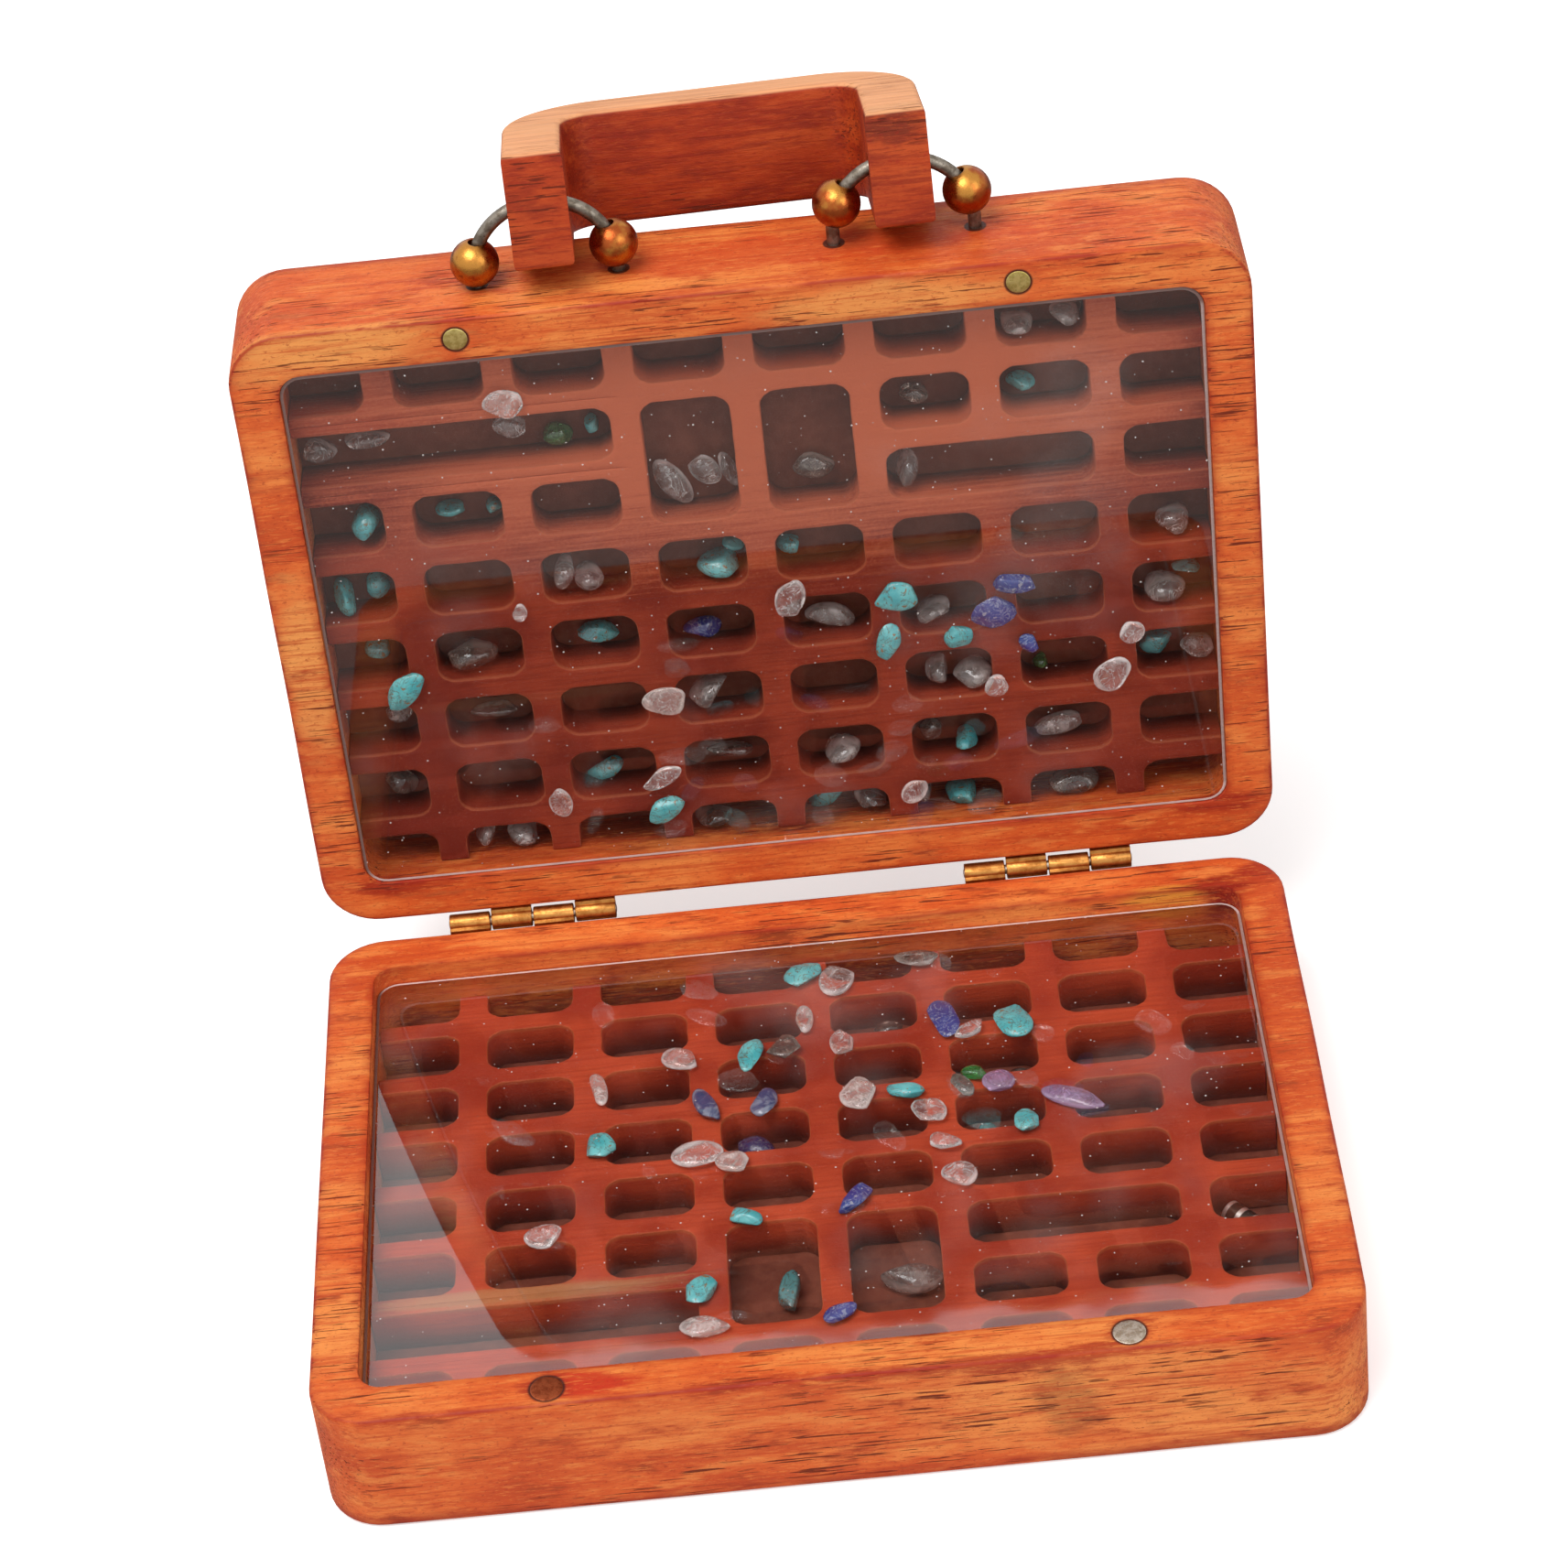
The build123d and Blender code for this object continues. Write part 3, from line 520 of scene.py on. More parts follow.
def sawn_edge(name):
    """Sawn edge of a clear sheet, painted lit on the sides that the mesh's lit value names and painted dark
    in shade on the others.
    """
    material, tree = blank(name)
    bright = noise(tree, 4.0, stretch=(0.2, 0.2, 1)).mix((0.50, 0.36, 0.33), (0.86, 0.76, 0.73))
    colour = mesh_value(tree, "lit").mix((0.10, 0.030, 0.018), bright)
    return principled(material, colour, 0.3, IOR=1.49)


# ---- metals
def metal(name, clean, tarnish, deep, roughness, scale=0.7, share=(0.42, 0.62)):
    """Handled metal: slow noise lays tarnish over it and fine noise scratches it."""
    material, tree = blank(name)
    patches, spots = noise(tree, scale, 3.0, 0.6), noise(tree, scale * 3.1, 3.0, 0.7)
    colour = laid(patches.band(*share).mix(clean, tarnish), (spots, 0.58, 0.74, 0.8, deep))
    scratched = noise(tree, 6.0, stretch=(0.3, 1, 1), turn=(20, 35, 10))
    dull = spots.band(0.35, 0.75, roughness, roughness + 0.22) + scratched * 0.08
    return principled(material, colour, dull, Metallic=1.0, Normal=bump(scratched, 0.02))


def banded_metal(name):
    """Polished dark metal with pale bands, a sine of the ring value that runs along the bead."""
    material, tree = blank(name)
    stripes = (mesh_value(tree, "ring") * 9.0).math("SINE")
    colour = stripes.band(0.3, 0.7).mix((0.060, 0.040, 0.030), (0.78, 0.72, 0.66))
    return principled(material, colour, 0.3, Metallic=0.8)


# ---- stones
def near_middle(field, low, high, amount):
    """Thin lines: the amount where noise crosses its middle to within low, fading out at high."""
    return (field - 0.5).math("ABSOLUTE").band(low, high, amount, 0.0)


def opaque_stone(name, base, light, vein, flecks):
    """Polished opaque stone: two tones, thin veins where noise crosses its middle, and flecks.

    The value deep paints shade that darkens the chips down in the pockets.
    """
    material, tree = blank(name)
    colour = noise(tree, 0.33).band(0.38, 0.64).mix(base, light)
    colour = near_middle(noise(tree, 0.42, 4.0, 0.7, 1.2), 0.004, 0.022, 0.85).mix(colour, vein)
    colour = laid(colour, (noise(tree, 0.9), 0.62, 0.67, 0.9, flecks))
    # Painted shade on the chips down in the pockets.
    colour = (mesh_value(tree, "deep") * 0.6).mix(colour, (0.02, 0.012, 0.010))
    return principled(material, colour, 0.22, Normal=bump(noise(tree, 1.6), 0.10),
                      IOR=1.55, Coat_Weight=0.25, Coat_Roughness=0.12)


def clear_stone(name, body, cloud_and_rim_tone, clearness, cloudiness=0.2, veined=()):
    """Tumbled clear stone: light goes through it except where clouds and cracks scatter it, and where a
    painted highlight whitens its rim.

    The value rim paints a highlight that whitens a chip's side, and the value deep paints shade
    that dims the chips down in the pockets.  The chips at the veined places are opaque and grey-blue.
    """
    material, tree = blank(name)
    clouds = noise(tree, 0.38, 4.0, 0.6, 0.6)
    cracks = near_middle(noise(tree, 0.26, 3.0, 0.6, 1.5), 0.002, 0.014, 1.0)
    milk_and_rim_highlight = clouds.band(0.46, 0.74, 0.0, cloudiness).math("ADD", cracks * 0.5, clamp=True)
    # Painted highlight: the chip's side is made whiter and less clear.
    rim = mesh_value(tree, "rim").band(0.35, 0.95, 0.0, 0.85)
    milk_and_rim_highlight = milk_and_rim_highlight.math("MAXIMUM", rim * clouds.band(0.35, 0.6, 0.5, 1.0))
    colour = milk_and_rim_highlight.mix(body, cloud_and_rim_tone)
    through = (1.0 - milk_and_rim_highlight) * clearness
    slate = clouds.band(0.42, 0.6).mix((0.055, 0.075, 0.19), (0.26, 0.30, 0.40))
    for centre in veined:
        there = spot(tree, centre, [5.0] * 3, 0.9)
        colour = there.mix(colour, slate)
        through = through * (1.0 - there)
    # Painted shade on the chips down in the pockets.
    colour = (mesh_value(tree, "deep") * 0.8).mix(colour, (0.21, 0.135, 0.105))
    return principled(material, colour, 0.05, Normal=bump(noise(tree, 0.8), 0.10),
                      Transmission_Weight=through, IOR=1.40, Coat_Weight=0.5, Coat_Roughness=0.05)


# ---- trays
def tray(name, place, face, body, material):
    """Milled tray as rings of rounded rectangles.

    They start at the outer face, turn up the sanded edge, climb the wall, cross the rim
    and drop down the opening to the cavity's floor.  The outer rings draw in by up to
    the sanded hollow along a slow wave, as hand sanding leaves them.
    """
    signs, directions = loop_basis(10, 24)
    half_x, half_y = tray_width / 2, tray_depth / 2
    inner_x, inner_y = opening_width / 2, opening_depth / 2
    cavity = face + board_thickness + backing_thickness
    rings, edges = [], []

    def ring(x, y, corner, depth, edge):
        """Keeps a ring of this half size, corner radius and depth, and how worn it is."""
        rings.append((x, y, corner, depth))
        edges.append(edge)

    def outer(inset, depth, edge):
        """Ring that lies an inset in from the outer wall."""
        ring(half_x - inset, half_y - inset, outer_corner - inset, depth, edge)

    def across(share, edge):
        """Ring on the rim, a share of the way from the outer wall to the opening."""
        pairs = ((half_x, inner_x), (half_y, inner_y), (outer_corner, opening_corner))
        ring(*((1 - share) * a + share * b for a, b in pairs), 0.0, edge)

    outer(outer_round + 3.0, tray_height, 0.0)
    for inset, rise in eased(outer_round, 5):
        outer(inset, tray_height - rise, 0.75)
    outer(0.0, tray_height - outer_round - 1.6, 0.0)
    outer(0.0, rim_round + 1.4, 0.0)
    for (depth, inset), edge in zip(eased(rim_round, 4), (0.0, 0.5, 1.0, 0.9, 0.35)):
        outer(inset, depth, edge)
    across((rim_round + 0.9) / wall, 0.0)
    across(0.8, 0.0)
    across(1 - opening_round / wall - 0.04, 0.4)
    for inset, depth in eased(opening_round, 2)[1:]:
        ring(inner_x + inset, inner_y + inset, opening_corner + inset, depth, 0.8)
    ring(inner_x, inner_y, opening_corner, 1.2, 0.0)
    ring(inner_x, inner_y, opening_corner, cavity, 0.0)

    points = rounded_rings(rings, signs, directions)
    outside = np.array(rings)[:, 0] > half_x - outer_round - 0.01
    drawn_in = sanded_hollow / 2 * (1 + wave(points[..., 0], points[..., 1] + points[..., 2], cavity))
    points[..., 0:2] -= (outside[:, None] * drawn_in)[..., None] * directions[None]
    values = {"edge": np.repeat(edges, len(signs))}
    make_piece(name, place(points.reshape(-1, 3)), capped_faces(len(rings), len(signs)), [material], body,
               50, values)


def window(name, place, recess, body, sheet):
    """Clear sheet glued inside the opening: four rings down its eased edge and its side.

    The upper faces and the underside are clear.  The value lit is the share of the sawn
    side that faces the back and the right, how much painted light its edge gets there.
    """
    signs, directions = loop_basis(6, 1)
    size = len(signs)
    steps = ((window_gap + window_ease, 0.0), (window_gap, 0.1), (window_gap, window_glint),
             (window_gap, window_thickness))
    rings = [(opening_width / 2 - inset, opening_depth / 2 - inset, opening_corner - inset, recess + depth)
             for inset, depth in steps]
    points = rounded_rings(rings, signs, directions)
    kinds = [1] * (2 * size) + [0] * (size + 2)
    lit = np.tile(np.clip(directions @ (0.5, 1.6), 0.15, 1.0), len(rings))
    make_piece(name, place(points.reshape(-1, 3)), capped_faces(len(rings), size), [sheet, sheet_edge], body,
               5, {"lit": lit}, kinds)


# ---- pocket boards
# How a lattice step is cut along a pocket's side: closer near the corners.
side_cuts = np.array((0.0, 0.13, 0.17, 0.21, 0.26, 0.32, 0.5, 0.68, 0.74, 0.79, 0.83, 0.87))


def all_pockets():
    """(first column, last column, first row, last row) of every pocket."""
    taken = {(c, r) for a, b, d, e in merged_pockets for c in range(a, b + 1) for r in range(d, e + 1)}
    every = [(c, r) for r in range(1, rows + 1) for c in range(1, columns + 1)]
    return merged_pockets + [(c, c, r, r) for c, r in every if (c, r) not in taken]


def pocket_cell(pocket, shift):
    """One pocket and the board around it up to the middle of its ribs, as three rings of points.

    The outer ring runs round the cell, and the inner ones are its points carried in to the
    pocket's rounded outline.  At the board's edges the pocket stays open.
    """
    first_column, last_column, first_row, last_row = pocket
    x = shift + (np.array((first_column, last_column)) - (columns + 1) / 2) * column_pitch
    y = first_row_y + (np.array((first_row, last_row)) - 1) * row_pitch
    low = np.array((x[0] - pocket_width / 2, y[0] - pocket_height / 2))
    high = np.array((x[1] + pocket_width / 2, y[1] + pocket_height / 2))
    half_rib = np.array((column_rib, row_rib)) / 2
    open_low = np.array((first_column == 1, first_row == 1))
    open_high = np.array((last_column == columns, last_row == rows))
    cell_low, low = (np.where(open_low, -board_reach, side) for side in (low - half_rib, low))
    cell_high, high = (np.where(open_high, board_reach, side) for side in (high + half_rib, high))

    across, up = last_column - first_column + 1, last_row - first_row + 1
    share_x = np.concatenate([step + side_cuts for step in range(across)]) / across
    share_y = np.concatenate([step + side_cuts for step in range(up)]) / up
    flat = np.concatenate((
        np.c_[share_x, 0 * share_x], np.c_[0 * share_y + 1, share_y],
        np.c_[1 - share_x, 0 * share_x + 1], np.c_[0 * share_y, 1 - share_y]))
    outer = cell_low + flat * (cell_high - cell_low)
    sharp = low + flat * (high - low)
    rounded_side = np.where(flat > 0.5, ~open_high, ~open_low)
    radius = np.where(rounded_side.all(1), pocket_radius, 0.0)[:, None]
    core = np.clip(sharp, low + radius, high - radius)
    away = sharp - core
    length = np.linalg.norm(away, axis=1, keepdims=True)
    inner = np.where(length > 1e-9, core + radius * away / np.maximum(length, 1e-9), sharp)
    uneven = lip_unevenness * wave(9 * inner[:, :1], 9 * inner[:, 1:], shift)
    outward = (outer - inner) / np.maximum(np.linalg.norm(outer - inner, axis=1, keepdims=True), 1e-9)
    inner = np.clip(inner + uneven * outward, -board_reach, board_reach)
    rings = np.stack((outer, inner + 0.35 * (outer - inner), inner))
    return rings, np.linalg.norm(rings - inner, axis=2)


def pocket_board(name, place, shift, depth, body, material):
    """Board of pocket cells laid side by side, given its thickness and its eased lips by modifiers."""
    points, faces, lips, start = [], [], [], 0
    for pocket in all_pockets():
        rings, lip = pocket_cell(pocket, shift)
        faces.append(np.array(band_faces(3, rings.shape[1])) + start)
        points.append(rings.reshape(-1, 2))
        lips.append(lip.ravel())
        start += lip.size
    flat, faces = np.vstack(points), np.vstack(faces)
    corners = flat[faces]
    area = 0.5 * np.abs(np.cross(corners[:, 2] - corners[:, 0], corners[:, 3] - corners[:, 1]))
    placed = place(np.c_[flat, np.full(len(flat), depth)])
    piece = make_piece(name, placed, faces[area > 1e-4].tolist(), [material], body, 40,
                       {"lip": np.concatenate(lips)})
    shell = bmesh.new()
    shell.from_mesh(piece.data)
    bmesh.ops.delete(shell, geom=[v for v in shell.verts if not v.link_faces], context="VERTS")
    top, below = place([(0, 0, depth), (0, 0, depth + 1)])
    inward = Vector(below - top)
    bmesh.ops.reverse_faces(shell, faces=[face for face in shell.faces if face.normal.dot(inward) > 0])
    shell.to_mesh(piece.data)
    shell.free()
    solid = piece.modifiers.new("thickness", "SOLIDIFY")
    solid.thickness, solid.offset = board_thickness * MM, -1
    lips_cut = piece.modifiers.new("lips", "BEVEL")
    lips_cut.width, lips_cut.segments, lips_cut.limit_method = lip_cut * MM, 2, "ANGLE"
    lips_cut.angle_limit = radians(50)


# ---- stone chips
def loose_parts(node):
    """Corner points of each separate solid of a node: triangles that share a corner belong together."""
    mesh = nodes[node].data
    points = np.empty(len(mesh.vertices) * 3)
    mesh.vertices.foreach_get("co", points)
    mesh.calc_loop_triangles()
    triangles = np.empty(len(mesh.loop_triangles) * 3, int)
    mesh.loop_triangles.foreach_get("vertices", triangles)
    corners, same = np.unique(np.round(points.reshape(-1, 3) * 1e7), axis=0, return_inverse=True)
    triangles = same.ravel()[triangles].reshape(-1, 3)
    labels, before = np.arange(len(corners)), None
    while not np.array_equal(labels, before):
        lowest, before = labels[triangles].min(1), labels.copy()
        for corner in triangles.T:
            np.minimum.at(labels, corner, lowest)
    return [corners[labels == label] * 1e-7 for label in np.unique(labels)]


def chip_shape(generator, cuts, lumpiness):
    """Unit pebble: a ball with slow lumps, then flats where it is cut by random planes."""
    across, down = 26, 15
    theta = np.linspace(0, 2 * pi, across, endpoint=False)
    phi = np.linspace(0, pi, down + 1)[1:-1]
    phi, theta = np.meshgrid(phi, theta, indexing="ij")
    ball = np.stack((np.sin(phi) * np.cos(theta), np.sin(phi) * np.sin(theta), np.cos(phi)), -1)
    ball = np.vstack((ball.reshape(-1, 3), (0, 0, 1), (0, 0, -1)))
    phases = generator.uniform(0, 6.3, (4, 3))
    turns = generator.uniform(1.2, 3.2, (4, 3))
    swell = 1 + lumpiness * np.sin(ball @ turns.T + phases[:, 0]).mean(1)
    points = ball * swell[:, None]
    normals = generator.normal(size=(cuts, 3)) * (1, 1, 0.6)
    normals /= np.linalg.norm(normals, axis=1, keepdims=True)
    for normal, reach in zip(normals, generator.uniform(0.62, 0.88, cuts)):
        over = np.maximum(points @ normal - reach, 0)
        points -= 0.93 * over[:, None] * normal
    faces = band_faces(down - 1, across)
    last = (down - 2) * across
    top, bottom = len(ball) - 2, len(ball) - 1
    faces += [[top, (i + 1) % across, i] for i in range(across)]
    faces += [[bottom, last + i, last + (i + 1) % across] for i in range(across)]
    low, high = points.min(0), points.max(0)
    return 2 * (points - low) / (high - low) - 1, faces


def join(parts):
    """Several shells as one list of points and faces."""
    points, faces, start = [], [], 0
    for some, their_faces in parts:
        points.append(some)
        faces += [[index + start for index in face] for face in their_faces]
        start += len(some)
    return np.vstack(points), faces


# A solid chip's uneven corners reach less far than the stone does, so it is drawn out again.
chip_swell = np.array((1.08, 1.34))


def chips(node, place, back, body, material, cuts, lumpiness):
    """Every chip of one stone: a pebble stretched to the length, width, depth and turn of its solid.

    The value rim is 1 round a chip's side, which gets a painted highlight, and deep, the strength
    of painted shade, is 1 on the chips down in the lower pockets, where less light comes, and half of that in
    the lid's.
    """
    generator = np.random.default_rng(sum(map(ord, node)))
    face, dimming = (lower_face, 1.0) if body == "base" else (lid_face, 0.5)
    parts, rims, deeps = [], [], []
    for corners in loose_parts(node):
        found = back(corners)
        low, high = found.min(0), found.max(0)
        flat = found[:, :2] - (high + low)[:2] / 2
        turn = np.linalg.eigh(flat.T @ flat)[1][:, ::-1]
        reach = flat @ turn
        near, far = reach.min(0), reach.max(0)
        pebble, faces = chip_shape(generator, cuts, lumpiness)
        spread = pebble[:, :2] * (far - near) / 2 * chip_swell + (far + near) / 2
        depth = (high[2] + low[2]) / 2 + pebble[:, 2] * (high[2] - low[2]) / 2
        parts.append((np.c_[spread @ turn.T + (high + low)[:2] / 2, depth], faces))
        rims.append(1 - np.abs(pebble[:, 2]))
        deeps.append(np.full(len(pebble), dimming * (found[:, 2].mean() > face)))
    points, faces = join(parts)
    make_piece(node, place(points), faces, [material], body, 60,
               {"rim": np.concatenate(rims), "deep": np.concatenate(deeps)})


def tube_bead(node):
    """Short metal tube lying where its solid lies, with eased ends and a value along its length."""
    low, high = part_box(node)
    corners = loose_parts(node)[0]
    flat = corners[:, :2] - corners[:, :2].mean(0)
    axis = np.linalg.eigh(flat.T @ flat)[1][:, -1]
    reach = (flat @ axis).max() - (flat @ axis).min()
    radius = (high.z - low.z) / 2
    half, ease, bore = reach / 2, 0.3 * MM, 0.6 * MM
    ends = [(radius - inset, half - drop) for drop, inset in eased(ease, 3)]
    profile = [(bore, -half)] + [(r, -h) for r, h in ends[::-1]] + ends + [(bore, half)]
    points, faces = turned(profile, 32)
    side = np.array((-axis[1], axis[0]))
    flat_points = points[:, 2:3] * axis + points[:, 0:1] * side + (low.xy + high.xy) / 2
    world = np.c_[flat_points, points[:, 1] + (low.z + high.z) / 2]
    make_piece(node, world, faces, [bead_stripes], "base", 40, {"ring": points[:, 2] / half})


# ---- catches, staples and beads
def button(name, place, x, radius, body, material):
    """Round button set flush in the rim: a disc with an eased edge and a faint crown."""
    arc = [(radius - inset, drop - button_crown) for drop, inset in eased(button_ease, 3)]
    crown = [(radius * 0.5, -button_crown - 0.03), (0.001, -button_crown - 0.04)]
    points, faces = turned([(0.001, button_height), (radius, button_height)] + arc + crown, 40)
    make_piece(name, place(points + (x, catch_y, 0)), faces, [material], body, 50)


def tube(path, radius, sides=20):
    """Round wire along a flat path of (x, y): points and faces, with closed ends."""
    path = np.asarray(path, float)
    along = np.gradient(path, axis=0)
    along /= np.linalg.norm(along, axis=1, keepdims=True)
    normal = np.c_[-along[:, 1], along[:, 0]]
    turns = 2 * pi * np.arange(sides) / sides
    flat = path[:, None] + radius * np.cos(turns)[None, :, None] * normal[:, None]
    height = np.broadcast_to(radius * np.sin(turns)[None], flat.shape[:2])
    points = np.concatenate((flat, height[..., None]), 2).reshape(-1, 3)
    return points, capped_faces(len(path), sides)


def arch_path():
    """Middle line of a wire staple: a foot, a half circle and the other foot."""
    turns = np.linspace(pi, 0, 41)
    bow = np.c_[arch_radius * np.cos(turns), arch_centre_rise + arch_radius * np.sin(turns)]
    feet = np.linspace(-wire_depth, arch_centre_rise, 4)[:-1]
    left = np.c_[np.full(3, -arch_radius), feet]
    return np.vstack((left, bow, left[::-1] * (-1, 1)))


def wires_and_beads():
    """Both staples and the four beads threaded on them, each leaning as far as the wire does there."""
    for side, name in ((-1, "left"), (1, "right")):
        points, faces = tube(arch_path(), wire_radius - inside_box)
        points[:, 0] += side * arch_spacing / 2
        make_piece(f"handle_wire_{name}", to_wall(points), faces, [dark_wire], "lid", 50)
    bore = wire_radius + 0.02
    start = asin((bore + 0.35) / bead_radius)
    lip = bead_radius * cos(start)
    latitudes = np.linspace(start, pi - start, 22)
    ball = np.c_[bead_radius * np.sin(latitudes), bead_radius * np.cos(latitudes)]
    end = [(bore, lip - 0.25), (bore + 0.1, lip - 0.03)]
    profile = np.vstack((end, ball, [(radius, -height) for radius, height in end[::-1]]))
    for name, (arch, side, gap) in bead_places.items():
        points, faces = turned(profile, 40)
        rise = gap + bead_radius
        up = asin((rise - arch_centre_rise) / arch_radius)
        x, y = swung(points[:, 0], points[:, 2], side * up)
        x = x + side * arch_radius * cos(up) + arch * arch_spacing / 2
        placed = to_wall(np.c_[x, y + rise, points[:, 1]])
        make_piece(f"bead_{name}", placed, faces, [bead_bronze], "lid", 50)


# ---- handle
def handle_outline(inset):
    """C-shaped outline drawn in by an inset: round outer corners, tighter inner ones."""
    half, gap = handle_width / 2 - inset, handle_width / 2 - handle_strip + inset
    foot = inset - leg_bore_inset
    back = handle_reach - leg_bore_inset - inset
    inner_back = handle_reach - leg_bore_inset - handle_strip + inset
    outer_r, inner_r = handle_outer - inset, handle_inner + inset
    turns = quarter(14)
    outer = np.c_[half - outer_r + outer_r * np.cos(turns), back - outer_r + outer_r * np.sin(turns)]
    inner = np.c_[-gap + inner_r - inner_r * np.cos(turns), inner_back - inner_r + inner_r * np.sin(turns)]
    leg = np.c_[np.full(5, half), np.linspace(foot, back - outer_r, 6)[:-1]]
    inner_leg = np.c_[np.full(5, -gap), np.linspace(foot, inner_back - inner_r, 6)[:-1]]
    outside, inside, mirror = np.vstack((leg, outer)), np.vstack((inner_leg, inner)), (-1, 1)
    return np.vstack((outside, outside[::-1] * mirror, inside, inside[::-1] * mirror))


def handle():
    """Handle as its outline carried through its thickness, with eased edges and bored legs.

    The value sanded is 1 on its pale rim-side face.
    """
    half = handle_thickness / 2
    rings = [(inside_box + inset, inside_box - half + rise) for inset, rise in eased(handle_round, 4)]
    rings += [(inset, -height) for inset, height in rings[::-1]]
    outlines = [handle_outline(inset) for inset, _ in rings]
    size = len(outlines[0])
    points = np.concatenate([np.c_[outline[:, 0], np.full(size, height), outline[:, 1]]
                             for outline, (_, height) in zip(outlines, rings)])
    sanded = (points[:, 1] < 0.5 - half).astype(float)
    piece = make_piece("handle", to_wall(handle_rest(points)), capped_faces(len(rings), size), [handle_wood],
                       "handle", 40, {"sanded": sanded})
    bore, bore_faces = tube(((0, -handle_width), (0, handle_width)), leg_bore / 2, 28)
    bore = to_wall(handle_rest(bore[:, [1, 0, 2]]))
    cutter = make_piece("bore", bore, bore_faces, [handle_wood], "handle")
    cut = piece.modifiers.new("bore", "BOOLEAN")
    cut.object, cut.operation, cut.solver = cutter, "DIFFERENCE", "EXACT"
    bpy.context.view_layer.update()
    bored = bpy.data.meshes.new_from_object(piece.evaluated_get(bpy.context.evaluated_depsgraph_get()))
    piece.modifiers.clear()
    piece.data = bored
    bpy.data.objects.remove(cutter)
    bored.set_sharp_from_angle(angle=radians(40))


# ---- hinges
def prism(outline, start, end, ease=0.12):
    """Outline of (y, z) carried along X, its ends eased a little towards its middle."""
    outline = np.asarray(outline, float)
    centre = (outline.max(0) + outline.min(0)) / 2
    small = centre + (outline - centre) * (1 - ease / np.abs(outline - centre).max())
    stations = ((start, small), (start + ease, outline), (end - ease, outline), (end, small))
    points = np.concatenate([np.c_[np.full(len(o), x), o] for x, o in stations])
    return points, capped_faces(len(stations), len(outline))


def leaf_shells(own):
    """Leaf under the pin, which is the origin, hanging in -z: a plate and its own curled knuckles."""
    back, front = -pin_offset, -pin_offset + leaf_thickness
    clear = barrel_radius + 0.5
    plate = [(back, -leaf_height), (front, -leaf_height), (front, -clear), (back, -clear)]
    parts = [prism(plate, -hinge_length / 2, hinge_length / 2)]
    meet = atan2(-sqrt(barrel_radius ** 2 - front ** 2), front)
    turns = np.linspace(meet, pi - 0.35, 26)
    curl = np.c_[barrel_radius * np.cos(turns), barrel_radius * np.sin(turns)]
    seam = ((-barrel_radius + 0.12, 0.2), (back, 0.0))
    knuckle = np.vstack(([(back, -clear - 0.2), (front, -clear - 0.2)], curl, seam))
    for index in own:
        middle = -hinge_length / 2 + knuckle_length / 2 + index * (knuckle_length + knuckle_gap)
        parts.append(prism(knuckle, middle - knuckle_length / 2, middle + knuckle_length / 2))
    return join(parts)


def screw_shells():
    """Slotted countersunk head and its shank, pointing into -z."""
    crown = [(screw_head * cos(t), screw_crown * sin(t)) for t in quarter(4)[:-1]]
    shank = [(0.001, -4.8), (0.7, -4.6), (0.9, -0.6), (screw_head, -0.05)]
    points, faces = turned(shank + crown + [(0.3, screw_crown), (0.001, screw_crown)], 28)
    in_slot = (np.abs(points[:, 1]) < 0.28) & (points[:, 2] > 0.05)
    points[:, 2] -= 0.45 * in_slot
    return points, faces


def pin_shells():
    """Hinge pin along Z with domed ends."""
    dome = [(pin_radius * cos(t), hinge_length / 2 + pin_dome * sin(t)) for t in quarter(3)]
    upper = dome + [(0.001, hinge_length / 2 + pin_dome)]
    return turned([(radius, -height) for radius, height in upper[::-1]] + upper, 20)


def hinges():
    """Both hinges: leaves on the two back walls, pins with domed ends, and their screws."""
    stands = {"base": np.eye(3), "lid": lid_turn() @ np.diag((1, 1, -1))}
    middles = []
    for side in ("left", "right"):
        low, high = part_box(f"hinge_{side}_pin")
        middles.append((low.x + high.x) / 2 / MM)
        centre = (middles[-1] * MM, pin[1], pin[2])
        for name, body, own in (("lower", "base", (0, 2)), ("lid", "lid", (1, 3))):
            points, faces = leaf_shells(own)
            make_piece(f"hinge_{side}_{name}_leaf", points * MM @ stands[body].T + centre, faces,
                       [hinge_brass], body, 40)
        points, faces = pin_shells()
        along_x = points[:, [2, 0, 1]] * MM + centre
        make_piece(f"hinge_{side}_pin", along_x, faces, [pin_steel], "base", 50)
    for name, body in (("lower_hinge_screws", "base"), ("lid_hinge_screws", "lid")):
        parts = []
        for middle in middles:
            for step in (-1, 1):
                points, faces = screw_shells()
                x, y = swung(points[:, 0], points[:, 1], 0.9 * middle + 2.3 * step)
                along = x + middle + step * screw_spacing / 2
                stood = np.c_[along, points[:, 2] - pin_offset + leaf_thickness, y - screw_inset]
                parts.append((stood, faces))
        points, faces = join(parts)
        make_piece(name, points * MM @ stands[body].T + (0, pin[1], pin[2]), faces, [screw_brass], body,
                   40)


# ---- finishes
def lower_at(x, y, depth):
    """One point of the lower tray's space, in metres."""
    return to_lower([(x, y, depth)])[0]


def lid_at(x, y, depth):
    """One point of the lid's tray space, in metres."""
    return to_lid([(x, y, depth)])[0]


half_opening, back_y, front_y = opening_width / 2, opening_depth / 2, -opening_depth / 2
outer_front_y = -tray_depth / 2
left_magnet, right_magnet = lower_at(left_catch, catch_y, 0), lower_at(right_catch, catch_y, 0)
bright_red, pale_amber, wall_red = (0.50, 0.022, 0.008), (0.80, 0.33, 0.085), (0.56, 0.050, 0.010)
glue_amber, glue_red, smudge_brown = (0.72, 0.27, 0.035), (0.22, 0.008, 0.004), (0.22, 0.10, 0.03)
